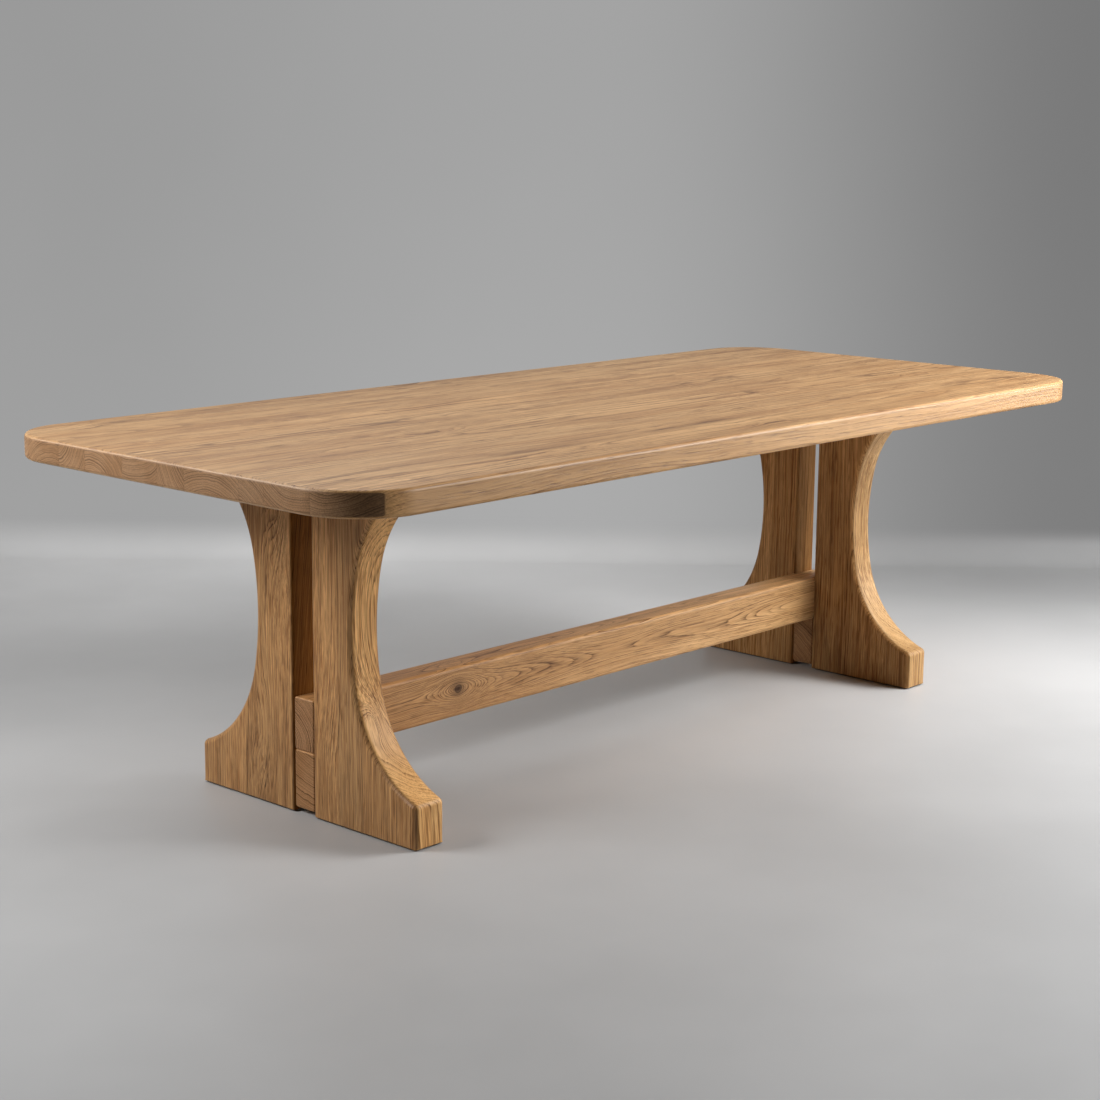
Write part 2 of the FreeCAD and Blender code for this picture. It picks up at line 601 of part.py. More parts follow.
panel = top_panel()
pieces = [top_board(panel, order) for order in range(BOARD_COUNT)]
pieces.append(stretcher())
for end in ENDS:
    for side in SIDES:
        pieces.append(leg_half(end, side))
        pieces.append(felt_strip(end, side))
    pieces.append(spacer(end, "lower", "dims.spacer_lift_height", LOWER_SPACER_HEIGHT, LOWER_DOWEL_HEIGHT))
    pieces.append(spacer(end, "upper", UPPER_SPACER_BOTTOM, "dims.upper_spacer_height", UPPER_DOWEL_HEIGHT))
    pieces.append(dowels(end, "lower", LOWER_DOWEL_HEIGHT))
    pieces.append(dowels(end, "upper", UPPER_DOWEL_HEIGHT))
    pieces.append(mounting_plate(end))
    pieces.append(plate_screws(end))
    pieces.extend(top_fasteners(end))
    pieces.extend(stretcher_fasteners(end))
doc.recompute()

for item in doc.Objects:
    if "Invalid" in item.State or "Error" in item.State:
        raise RuntimeError("%s failed: %s" % (item.Name, item.State))
for piece in pieces:
    if piece.Shape.isNull() or not piece.Shape.isValid():
        raise RuntimeError("%s has no valid shape" % piece.Label)
os.makedirs("parts", exist_ok=True)
for piece in pieces:
    piece.Shape.exportStep("parts/%s.step" % piece.Label)
print("%d pieces written" % len(pieces))
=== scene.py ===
import math

import bmesh
import bpy
from mathutils import Matrix, Vector, noise


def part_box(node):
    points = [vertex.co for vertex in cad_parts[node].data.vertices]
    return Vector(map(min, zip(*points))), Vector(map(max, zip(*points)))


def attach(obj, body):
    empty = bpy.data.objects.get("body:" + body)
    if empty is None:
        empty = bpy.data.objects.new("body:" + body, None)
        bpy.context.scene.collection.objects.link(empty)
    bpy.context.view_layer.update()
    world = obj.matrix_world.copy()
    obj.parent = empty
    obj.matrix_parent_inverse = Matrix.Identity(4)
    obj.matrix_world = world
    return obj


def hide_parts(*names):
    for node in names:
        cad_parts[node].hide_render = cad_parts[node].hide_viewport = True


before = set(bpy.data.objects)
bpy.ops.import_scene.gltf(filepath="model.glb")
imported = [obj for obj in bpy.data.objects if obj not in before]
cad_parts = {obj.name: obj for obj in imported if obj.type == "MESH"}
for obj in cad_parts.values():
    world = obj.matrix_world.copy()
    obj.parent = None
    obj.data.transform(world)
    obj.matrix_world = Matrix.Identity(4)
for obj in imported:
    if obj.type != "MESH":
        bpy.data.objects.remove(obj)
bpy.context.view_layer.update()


# Trestle halves: four planks of solid oak with the grain upright, glued up from staves.
# Each is bandsawn to a concave outer edge, rounded over along its arrises, and bored for the
# dowels that tie it to its neighbour and for the screws that hold the plate on its head.
LEG_INNER, LEG_FOOT, LEG_BOTTOM, LEG_TOP = 0.029, 0.320, 0.003, 0.700
LEG_TOE, LEG_NOSE, LEG_WAIST, WAIST_RADIUS, WAIST_ARC = 0.090, 0.688, 0.140, 0.575, 0.238
OUTER_ARRIS, LEG_CORNER, GAP_ARRIS, FOOT_ARRIS, ARRIS_FACETS = 0.013, 0.0134, 0.008, 0.003, 8
TRESTLE_X, STAVE_WIDTH = 0.830, 0.073
DOWEL_X, DOWEL_HEIGHTS, DOWEL_BORE, DOWEL_DEPTH = 0.022, (0.079, 0.6625), 0.0061, 0.030
SCREW_X, SCREW_ROWS, SCREW_BORE, SCREW_END = 0.020, (0.080, 0.185), 0.0031, 0.642
OVERRUN, TOUCH = 0.002, 1e-6

# Colours of the oak: its ground, the early wood of a ring, pores, sawn ends and knots.
PALE_OAK, BROWN_OAK = (0.52, 0.298, 0.122, 1), (0.43, 0.231, 0.086, 1)
RING_BROWN, PORE_BROWN = (0.120, 0.050, 0.014, 1), (0.100, 0.043, 0.013, 1)
SAWN_HUE, SAWN_LINE = (0.69, 0.685, 0.83), (0.030, 0.012, 0.004, 1)
KNOT_BROWN = (0.040, 0.016, 0.005, 1)
HALF = (0.5, 0.5, 0.5)


def new_piece(name, work):
    """A piece of the table from finished mesh work, standing at the origin."""
    bmesh.ops.recalc_face_normals(work, faces=work.faces)
    mesh = bpy.data.meshes.new(name)
    work.to_mesh(mesh)
    work.free()
    piece = bpy.data.objects.new(name, mesh)
    bpy.context.scene.collection.objects.link(piece)
    return piece


def settle(piece):
    """Make a piece and its modifiers one plain mesh."""
    bpy.context.view_layer.update()
    graph = bpy.context.evaluated_depsgraph_get()
    rough = piece.data
    finished = bpy.data.meshes.new_from_object(piece.evaluated_get(graph), depsgraph=graph)
    piece.modifiers.clear()
    piece.data = finished
    bpy.data.meshes.remove(rough)
    finished.name = piece.name
    return piece


def drill(work, start, end, radius, sides=32):
    """Add the round bar that a bore takes away, from one point to another."""
    start, end = Vector(start), Vector(end)
    turn = Vector((0, 0, 1)).rotation_difference(end - start).to_matrix().to_4x4()
    bmesh.ops.create_cone(
        work, cap_ends=True, segments=sides, radius1=radius, radius2=radius,
        depth=(end - start).length, matrix=Matrix.Translation((start + end) / 2) @ turn)


def join_mesh(piece, work, operation="DIFFERENCE"):
    """Cut mesh work out of a piece, or fuse it on."""
    tool = new_piece(piece.name + "_tool", work)
    step = piece.modifiers.new("tool", "BOOLEAN")
    step.operation, step.solver, step.object = operation, "EXACT", tool
    settle(piece)
    spent = tool.data
    bpy.data.objects.remove(tool)
    bpy.data.meshes.remove(spent)
    return piece


def sand(piece, angle=32):
    """Smooth the rounds of a piece and keep its flats flat."""
    for face in piece.data.polygons:
        face.use_smooth = True
    piece.data.set_sharp_from_angle(angle=math.radians(angle))
    flats = piece.modifiers.new("flats", "WEIGHTED_NORMAL")
    flats.keep_sharp = True
    return settle(piece)


def lay(tree, kind, feeds=(), **settings):
    """Lay down one node, set it, and give its inputs values or wire them to other nodes."""
    node = tree.nodes.new(kind)
    for name, value in settings.items():
        setattr(node, name, value)
    for place, value in dict(feeds).items():
        if isinstance(value, bpy.types.NodeSocket):
            tree.links.new(value, node.inputs[place])
        else:
            node.inputs[place].default_value = value
    return node


def made(tree, kind, feeds=(), **settings):
    """Lay down one node for its first output."""
    return lay(tree, kind, feeds, **settings).outputs[0]


def reckon(tree, operation, *values):
    """One sum on numbers."""
    return made(tree, "ShaderNodeMath", enumerate(values), operation=operation)


def added(tree, part, amount, base):
    """A number times another, added to a third."""
    return reckon(tree, "MULTIPLY_ADD", part, amount, base)


def times(tree, first, *others):
    """Numbers multiplied together."""
    for other in others:
        first = reckon(tree, "MULTIPLY", first, other)
    return first


def reckon_vector(tree, operation, *values):
    """One sum on vectors or colours."""
    result = lay(tree, "ShaderNodeVectorMath", enumerate(values), operation=operation)
    return result.outputs[1 if operation in ("LENGTH", "DOT_PRODUCT") else 0]


def scaled(tree, vector, amount):
    """A vector or colour times a number."""
    return made(tree, "ShaderNodeVectorMath", {0: vector, 3: amount}, operation="SCALE")


def spread(tree, value, low, high, to_low=0.0, to_high=1.0):
    """Stretch part of a number's range, smoothly and held at both ends."""
    feeds = enumerate((value, low, high, to_low, to_high))
    return made(tree, "ShaderNodeMapRange", feeds, interpolation_type="SMOOTHSTEP")


def mottle(tree, vector, counts, detail=2.0, roughness=0.5):
    """Noise with so many patches to the metre along each axis: its value and its colour."""
    stretched = reckon_vector(tree, "MULTIPLY", vector, counts)
    feeds = {"Vector": stretched, "Scale": 1.0, "Detail": detail, "Roughness": roughness}
    grain = lay(tree, "ShaderNodeTexNoise", feeds)
    return grain.outputs[0], grain.outputs[1]


def tint(tree, share, first, second):
    """Two colours mixed."""
    return lay(tree, "ShaderNodeMix", {0: share, 6: first, 7: second}, data_type="RGBA").outputs[2]


def new_group(name, inputs, outputs, sort="Shader"):
    """An empty node group with named sockets, and its input's outputs."""
    tree = bpy.data.node_groups.new(name, sort + "NodeTree")
    for way, sockets in (("INPUT", inputs), ("OUTPUT", outputs)):
        for label, kind in sockets:
            tree.interface.new_socket(label, in_out=way, socket_type="NodeSocket" + kind)
    return tree, tree.nodes.new("NodeGroupInput").outputs


def oak_grain():
    """Solid oak: growth rings about a pith, pores, streaks along the fibre, and end grain."""
    tree, given = new_group("oak grain", [
        ("Log", "Vector"), ("Tone", "Vector"), *((label, "Float") for label in (
            "Swell", "Knot", "Slant", "End", "Ring Width", "Ring Depth", "Streak", "Band")),
    ], [("Color", "Color"), ("Roughness", "Float"), ("Height", "Float")])

    def fibre(vector, along, across, *details):
        """Noise drawn out along the grain."""
        return mottle(tree, vector, (along, across, across), *details)[0]

    # The pith wavers along the log, and a knot pushes the fibres aside.
    log, swell = given["Log"], given["Swell"]
    waver = reckon_vector(tree, "SUBTRACT", mottle(tree, log, (1.1, 4.0, 4.0))[1], HALF)
    bent = reckon_vector(tree, "MULTIPLY_ADD", waver, (0.0, 0.045, 0.045), log)
    across = reckon_vector(tree, "MULTIPLY", bent, (0.0, 1.0, 1.0))
    radius = reckon(tree, "ADD", reckon_vector(tree, "LENGTH", across), swell)
    aside = scaled(tree, reckon_vector(tree, "NORMALIZE", across), swell)
    flow = reckon_vector(tree, "ADD", bent, aside)

    # Rings of uneven width and depth, each with a dark line of early wood.
    ring = reckon(tree, "DIVIDE", radius, given["Ring Width"])
    uneven = made(
        tree, "ShaderNodeTexNoise", {"W": ring, "Scale": 0.37, "Detail": 1.0}, noise_dimensions="1D")
    sway = fibre(log, 2.5, 34.0)
    shiver = fibre(log, 14.0, 170.0)
    for stray, rings in ((uneven, 2.2), (sway, 1.2), (shiver, 0.30)):
        ring = added(tree, stray, rings, ring)
    season = reckon(tree, "FRACT", ring)
    late = reckon(tree, "SUBTRACT", 1.0, season)
    year = made(
        tree, "ShaderNodeTexWhiteNoise", {"W": reckon(tree, "FLOOR", ring)}, noise_dimensions="1D")
    line = reckon(tree, "MAXIMUM", reckon(tree, "POWER", late, 4.0), spread(tree, season, 0.91, 1.0))
    early = times(tree, reckon(tree, "POWER", late, 1.8), 0.25)
    early = added(tree, line, 0.75, early)
    early = times(tree, early, spread(tree, year, 0.0, 1.0, 0.40, 1.0))
    broken = spread(tree, fibre(flow, 18.0, 330.0, 1.0), 0.34, 0.60, 0.40, 1.25)
    clear = added(tree, reckon(tree, "ABSOLUTE", swell), 24.0, 1.0)

    # Marks along the fibre, from broad bands to hairs and pores.
    cloud = fibre(log, 1.4, 14.0, 2.0)
    strand = fibre(flow, 2.4, 190.0, 3.0, 0.60)
    hair = fibre(flow, 7.0, 460.0, 2.0, 0.60)
    pores = spread(tree, fibre(flow, 24.0, 420.0, 1.0), 0.58, 0.68)
    pores = times(tree, pores, spread(tree, early, 0.0, 0.5, 0.45, 1.0))
    ticks = spread(tree, fibre(flow, 11.0, 200.0, 2.0), 0.62, 0.70)
    flecks = spread(tree, fibre(flow, 15.0, 190.0, 1.0), 0.60, 0.72)
    streak = times(tree, given["Streak"], spread(tree, given["Slant"], 0.15, 0.65, 1.0, 0.25))
    brown = reckon(tree, "MAXIMUM", spread(tree, strand, 0.50, 0.64, 0.0, 0.75), times(tree, ticks, 0.85))
    cream = reckon(tree, "MAXIMUM", spread(tree, strand, 0.48, 0.32, 0.0, 0.75), times(tree, flecks, 0.6))
    band = fibre(flow, 2.8, 20.0, 3.0, 0.58)
    lively = spread(tree, fibre(flow, 2.0, 9.0, 1.0), 0.40, 0.60)
    lively = times(tree, lively, given["Band"])
    slits = spread(tree, fibre(flow, 15.0, 150.0, 2.0), 0.60, 0.65)
    curds = spread(tree, fibre(flow, 24.0, 150.0, 2.0), 0.62, 0.66)

    plain = tint(tree, spread(tree, cloud, 0.30, 0.70), PALE_OAK, BROWN_OAK)
    colour = tint(tree, times(tree, early, broken, given["Ring Depth"], clear), plain, RING_BROWN)
    for share, change in (
            (times(tree, brown, streak), (0.58, 0.48, 0.37)),
            (times(tree, cream, streak), (1.24, 1.30, 1.36)),
            (times(tree, spread(tree, band, 0.50, 0.60), given["Band"]), (0.72, 0.62, 0.51)),
            (times(tree, spread(tree, band, 0.48, 0.38), given["Band"]), (1.18, 1.23, 1.31)),
            (times(tree, slits, lively, 1.6), (0.54, 0.45, 0.36)),
            (times(tree, curds, lively, 1.7), (1.28, 1.37, 1.50))):
        colour = tint(tree, share, colour, reckon_vector(tree, "MULTIPLY", colour, change))
    fine = times(tree, reckon(tree, "SUBTRACT", hair, 0.5), streak, 1.1)
    colour = scaled(tree, colour, reckon(tree, "ADD", fine, 1.0))
    colour = tint(tree, times(tree, pores, 0.55), colour, PORE_BROWN)

    # End grain shows the rings as the saw left them.
    speck = spread(tree, fibre(log, 60.0, 420.0, 2.0), 0.35, 0.65, 0.84, 1.14)
    sawn = scaled(tree, reckon_vector(tree, "MULTIPLY", plain, SAWN_HUE), speck)
    cut = reckon(tree, "MAXIMUM", reckon(tree, "POWER", late, 2.6), spread(tree, season, 0.90, 1.0))
    sawn = tint(tree, times(tree, cut, spread(tree, year, 0.0, 1.0, 0.35, 1.0)), sawn, SAWN_LINE)
    colour = tint(tree, given["End"], colour, sawn)
    colour = tint(tree, given["Knot"], colour, KNOT_BROWN)
    colour = reckon_vector(tree, "MULTIPLY", colour, given["Tone"])

    rough = added(tree, early, 0.10, 0.45)
    for part, more in ((given["End"], 0.12), (strand, -0.04), (given["Knot"], 0.35)):
        rough = added(tree, part, more, rough)
    height = added(tree, pores, -0.8, hair)
    height = added(tree, early, -0.4, height)
    lay(tree, "NodeGroupOutput", {"Color": colour, "Roughness": rough, "Height": height})
    return tree


def oak_knot():
    """A knot: rings pushed aside round a branch, its ringed dark heart, and a smear round it."""
    tree, given = new_group("oak knot", [
        ("Place", "Vector"), ("Centre", "Vector"), ("Reach", "Vector"), ("Heart", "Vector"),
        ("Lift", "Float"),
    ], [("Swell", "Float"), ("Dark", "Float")])
    apart = reckon_vector(tree, "SUBTRACT", given["Place"], given["Centre"])
    wobble = mottle(tree, given["Place"], (45.0, 45.0, 45.0))[1]
    wobble = reckon_vector(tree, "SUBTRACT", wobble, HALF)
    apart = reckon_vector(tree, "MULTIPLY_ADD", wobble, (0.006, 0.006, 0.006), apart)
    near = reckon_vector(tree, "LENGTH", reckon_vector(tree, "DIVIDE", apart, given["Reach"]))
    swell = times(tree, reckon(tree, "EXPONENT", times(tree, near, near, -1.0)), given["Lift"])
    core = reckon_vector(tree, "LENGTH", reckon_vector(tree, "DIVIDE", apart, given["Heart"]))
    dark = spread(tree, core, 0.70, 1.15, 0.92, 0.0)
    inner = times(tree, spread(tree, core, 0.25, 0.50), spread(tree, core, 0.55, 0.80, 1.0, 0.0))
    dark = added(tree, inner, -0.16, dark)
    dark = reckon(tree, "MAXIMUM", dark, spread(tree, core, 0.9, 2.6, 0.42, 0.0))
    lay(tree, "NodeGroupOutput", {"Swell": swell, "Dark": dark})
    return tree


OAK_GRAIN, OAK_KNOT = oak_grain(), oak_knot()


def new_finish(name):
    """An empty material, its node tree and the place on the piece that its nodes read."""
    finish = bpy.data.materials.new(name)
    finish.use_nodes = True
    finish.node_tree.nodes.clear()
    return finish, finish.node_tree, lay(finish.node_tree, "ShaderNodeTexCoord").outputs["Object"]


def close_finish(tree, height, strength, distance, **feeds):
    """End a material in its shader, with the relief that its nodes give."""
    relief = made(tree, "ShaderNodeBump", {
        "Strength": strength, "Distance": distance, "Height": height})
    feeds = {label.replace("_", " "): value for label, value in feeds.items()}
    shader = made(tree, "ShaderNodeBsdfPrincipled", {"Normal": relief, **feeds})
    lay(tree, "ShaderNodeOutputMaterial", {"Surface": shader})


def turned(tree, axis, *limits):
    """How far a surface faces along an axis, either way, stretched between limits."""
    normal = lay(tree, "ShaderNodeNewGeometry").outputs["Normal"]
    facing = reckon(tree, "ABSOLUTE", reckon_vector(tree, "DOT_PRODUCT", normal, axis))
    return spread(tree, facing, *limits)


def bell(tree, value, middle, reach, height):
    """A smooth hump in a number's range."""
    run = reckon(tree, "DIVIDE", reckon(tree, "SUBTRACT", value, middle), reach)
    return times(tree, reckon(tree, "EXPONENT", times(tree, run, run, -1.0)), height)


def finish_oak(material, tree, place, gleam, knots, grain):
    """Oiled oak, once the log that a piece was cut from is laid out."""
    swell, dark = 0.0, 0.0
    for centre, reach, heart, lift, depth in knots:
        knot = lay(tree, "ShaderNodeGroup", {
            "Place": place, "Centre": centre, "Reach": reach, "Heart": heart, "Lift": lift,
        }, node_tree=OAK_KNOT).outputs
        swell = reckon(tree, "ADD", swell, knot["Swell"])
        dark = reckon(tree, "MAXIMUM", dark, times(tree, knot["Dark"], depth))
    wood = lay(
        tree, "ShaderNodeGroup", {"Swell": swell, "Knot": dark, **grain}, node_tree=OAK_GRAIN).outputs
    close_finish(
        tree, wood["Height"], 0.35, 0.0006, Base_Color=wood["Color"], Roughness=wood["Roughness"],
        Specular_IOR_Level=gleam)
    return material


# Hue of the frame's oak. For each trestle: hue of painted shade in the gap, hue of painted sheen and
# tone of painted light on the hollow edge, and gleam of the wide faces.
FRAME_HUE = (1.06, 0.99, 0.925)
LEFT_PAINTED_LIGHT = ((0.36, 0.25, 0.13), (1.02, 1.02, 0.99), 1.42, 0.32)
RIGHT_PAINTED_LIGHT = ((0.62, 0.57, 0.52), (1.02, 1.10, 1.20), 1.20, 0.10)


def upright_oak(name, pith_x, first, painted_light, knots=()):
    """Oak in upright staves side by side, each from its own log, as in a trestle half."""
    gap_shade_hue, edge_sheen_hue, painted_edge_lighting, gleam = painted_light
    material, tree, place = new_finish(name)
    x, y, z = lay(tree, "ShaderNodeSeparateXYZ", {0: place}).outputs
    out = reckon(tree, "SUBTRACT", reckon(tree, "ABSOLUTE", y), LEG_INNER)
    wide = turned(tree, (1, 0, 0), 0.49, 0.51)
    gap = spread(tree, out, 0.006, 0.001)

    # Where each stave lay in its log.
    count = times(tree, wide, reckon(tree, "FLOOR", reckon(tree, "DIVIDE", out, STAVE_WIDTH)))
    chance = lay(
        tree, "ShaderNodeTexWhiteNoise", {"W": reckon(tree, "ADD", count, first)}, noise_dimensions="1D")
    drift = reckon_vector(tree, "SUBTRACT", chance.outputs[1], HALF)
    drift_x, drift_y, drift_z = lay(tree, "ShaderNodeSeparateXYZ", {0: drift}).outputs
    middle = added(tree, count, -STAVE_WIDTH, spread(tree, wide, 0.0, 1.0, 0.03, 0.09))
    side = added(tree, out, spread(tree, wide, 0.0, 1.0, 0.50, 1.0), middle)
    side = added(tree, drift_y, 0.090, side)
    depth = reckon(tree, "SUBTRACT", x, pith_x)
    depth = reckon(tree, "ADD", depth, spread(tree, wide, 0.0, 1.0, -0.05, 0.0))
    depth = added(tree, drift_x, 0.050, depth)
    depth = added(tree, z, times(tree, drift_z, 0.12), depth)
    along = added(tree, chance.outputs[0], 9.0, z)
    log = made(tree, "ShaderNodeCombineXYZ", {0: along, 1: side, 2: depth})

    # Tone by stave, with painted light on the hollow edge, painted shade on its roundover and towards the
    # foot, and painted light at the head of the wide faces.
    rounded = bell(tree, turned(tree, (1, 0, 0), 0.0, 1.0), 0.60, 0.28, -0.34)
    rounded = times(tree, rounded, spread(tree, out, 0.020, 0.040))
    painted_head_light = spread(tree, wide, 0.0, 1.0, 1.0, 1.22)
    shade = times(
        tree, spread(tree, chance.outputs[0], 0.0, 1.0, 0.88, 1.09),
        turned(tree, (1, 0, 0), 0.25, 0.85, painted_edge_lighting, 1.0), reckon(tree, "ADD", rounded, 1.0),
        spread(tree, z, 0.0, 0.65, 0.84, painted_head_light))
    # Painted shade in the gap between the halves, and a painted sheen hue on the hollow edge.
    hue = tint(tree, wide, (*edge_sheen_hue, 1), (*FRAME_HUE, 1))
    tone = scaled(tree, tint(tree, gap, hue, (*gap_shade_hue, 1)), shade)
    shine = times(
        tree, spread(tree, wide, 0.0, 1.0, 0.14, gleam), spread(tree, gap, 0.0, 1.0, 1.0, 0.15))
    return finish_oak(material, tree, place, shine, knots, {
        "Log": log, "Slant": turned(tree, (0, 0, 1), 0.0, 1.0), "End": turned(tree, (0, 0, 1), 0.975, 0.995),
        "Tone": tone, "Ring Width": 0.0037, "Ring Depth": 1.05, "Streak": 1.1, "Band": 0.20})


def eased_corner(centre, radius, out, way):
    """The middle of the small arc that eases a corner between an upright line and a long arc."""
    run = out - LEG_CORNER - centre.x
    return Vector((out - LEG_CORNER, centre.y + way * math.sqrt((radius + LEG_CORNER) ** 2 - run ** 2)))


def leg_outline():
    """The outline of a back half in (y, z), anticlockwise from its inner foot."""
    middle = (LEG_TOE + LEG_TOP) / 2
    turn = math.asin(WAIST_ARC / 2 / WAIST_RADIUS)
    inward = Vector((math.cos(turn), math.sin(turn)))
    centre = Vector((LEG_WAIST + WAIST_RADIUS, middle))
    meet = centre - inward * WAIST_RADIUS
    to_toe = Vector((LEG_FOOT, LEG_TOE)) - meet
    tight = to_toe.dot(to_toe) / (2 * to_toe.dot(inward))
    low = meet + inward * tight
    high = Vector((low.x, 2 * middle - low.y))
    head = high.x - math.sqrt(tight ** 2 - (LEG_NOSE - high.y) ** 2)
    toe, nose = eased_corner(low, tight, LEG_FOOT, -1), eased_corner(high, tight, head, 1)
    toe_angle = math.atan2(low.y - toe.y, low.x - toe.x)
    nose_angle = math.atan2(high.y - nose.y, high.x - nose.x)
    arcs = [
        (toe, LEG_CORNER, 0.0, toe_angle, 9),
        (low, tight, math.pi + toe_angle, math.pi + turn, 34),
        (centre, WAIST_RADIUS, math.pi + turn, math.pi - turn, 26),
        (high, tight, math.pi - turn, math.pi + nose_angle, 32),
        (nose, LEG_CORNER, nose_angle, 0.0, 9),
    ]
    points = [(LEG_INNER, LEG_BOTTOM), (LEG_FOOT, LEG_BOTTOM)]
    for spot, radius, start, stop, count in arcs:
        for step in range(0 if spot is toe else 1, count + 1):
            angle = start + (stop - start) * step / count
            points.append((spot.x + radius * math.cos(angle), spot.y + radius * math.sin(angle)))
    return points + [(head, LEG_TOP), (LEG_INNER, LEG_TOP)]


def skin(work, rims):
    """Close a stack of equal rims with walls and two flat ends."""
    count = len(rims[0])
    for lower, upper in zip(rims, rims[1:]):
        for here in range(count):
            after = (here + 1) % count
            work.faces.new((lower[here], lower[after], upper[after], upper[here]))
    work.faces.new(rims[0])
    work.faces.new(rims[-1])


def leg_half(name, middle_x, side):
    """One plank: outline, rounded arrises and bores."""
    work = bmesh.new()
    soften = work.edges.layers.float.new("bevel_weight_edge")
    skin(work, [
        [work.verts.new((corner.x, side * y, z)) for y, z in leg_outline()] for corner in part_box(name)])
    for edge in work.edges:
        ends = [vert.co for vert in edge.verts]
        lengthwise = abs(ends[0].x - ends[1].x) > TOUCH
        if max(end.z for end in ends) < LEG_BOTTOM + TOUCH:
            edge[soften] = FOOT_ARRIS / OUTER_ARRIS
        elif lengthwise or min(end.z for end in ends) > LEG_TOP - TOUCH:
            continue
        elif max(abs(end.y) for end in ends) < LEG_INNER + TOUCH:
            edge[soften] = GAP_ARRIS / OUTER_ARRIS
        else:
            edge[soften] = 1.0
    plank = new_piece(name + "_plank", work)
    rounds = plank.modifiers.new("arrises", "BEVEL")
    rounds.limit_method, rounds.width, rounds.segments = "WEIGHT", OUTER_ARRIS, ARRIS_FACETS
    rounds.use_clamp_overlap = False
    settle(plank)
    bores = bmesh.new()
    for sign in (-1, 1):
        for height in DOWEL_HEIGHTS:
            x = middle_x + sign * DOWEL_X
            drill(bores, (x, side * (LEG_INNER - OVERRUN), height),
                  (x, side * (LEG_INNER + DOWEL_DEPTH), height), DOWEL_BORE)
        for row in SCREW_ROWS:
            x = middle_x + sign * SCREW_X
            drill(bores, (x, side * row, LEG_TOP + OVERRUN), (x, side * row, SCREW_END), SCREW_BORE, 20)
    return sand(join_mesh(plank, bores))


# Rings swell round a branch low on each near half and run in a nest of arches at the head of
# the near back half, and there is one small knot in a hollow edge. Each is given by its centre,
# reach, heart, lift and darkness.
NO_HEART = (0.0002, 0.0002, 0.0002)
LEG_OAK = {
    "left_leg_front_half": upright_oak("oak_left_front", -0.800, 3.0, LEFT_PAINTED_LIGHT, [
        ((-0.835, -0.190, 0.232), (0.024, 0.050, 0.045), (0.004, 0.005, 0.006), 0.026, 1.0),
        ((-0.869, -0.075, 0.090), (0.5, 0.036, 0.170), NO_HEART, 0.016, 1.0)]),
    "left_leg_back_half": upright_oak("oak_left_back", -0.800, 11.0, LEFT_PAINTED_LIGHT, [
        ((-0.869, 0.064, 0.715), (0.5, 0.036, 0.190), NO_HEART, 0.036, 1.0),
        ((-0.869, 0.117, 0.150), (0.5, 0.034, 0.110), NO_HEART, 0.019, 1.0)]),
    "right_leg_front_half": upright_oak("oak_right_front", 0.860, 23.0, RIGHT_PAINTED_LIGHT),
    "right_leg_back_half": upright_oak("oak_right_back", 0.860, 36.0, RIGHT_PAINTED_LIGHT),
}
for name, finish in LEG_OAK.items():
    plank = leg_half(
        name, -TRESTLE_X if name.startswith("left") else TRESTLE_X, -1 if "front" in name else 1)
    plank.data.materials.append(finish)
    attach(plank, "root")
    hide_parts(name)


# Spacer blocks: short lengths of oak glued and dowelled between the two halves of a trestle.
# The lower one carries the stretcher's tenon and is counterbored from below for its bolt;
# the upper one closes the head under the top.
SPACER_ARRIS, BLOCK_END, ARRIS_CUTS, END_CUTS, END_RING = 0.006, 0.004, 6, 5, 0.0049
BOLT_BORE, COUNTERBORE, COUNTERBORE_DEPTH = 0.0051, 0.0135, 0.016


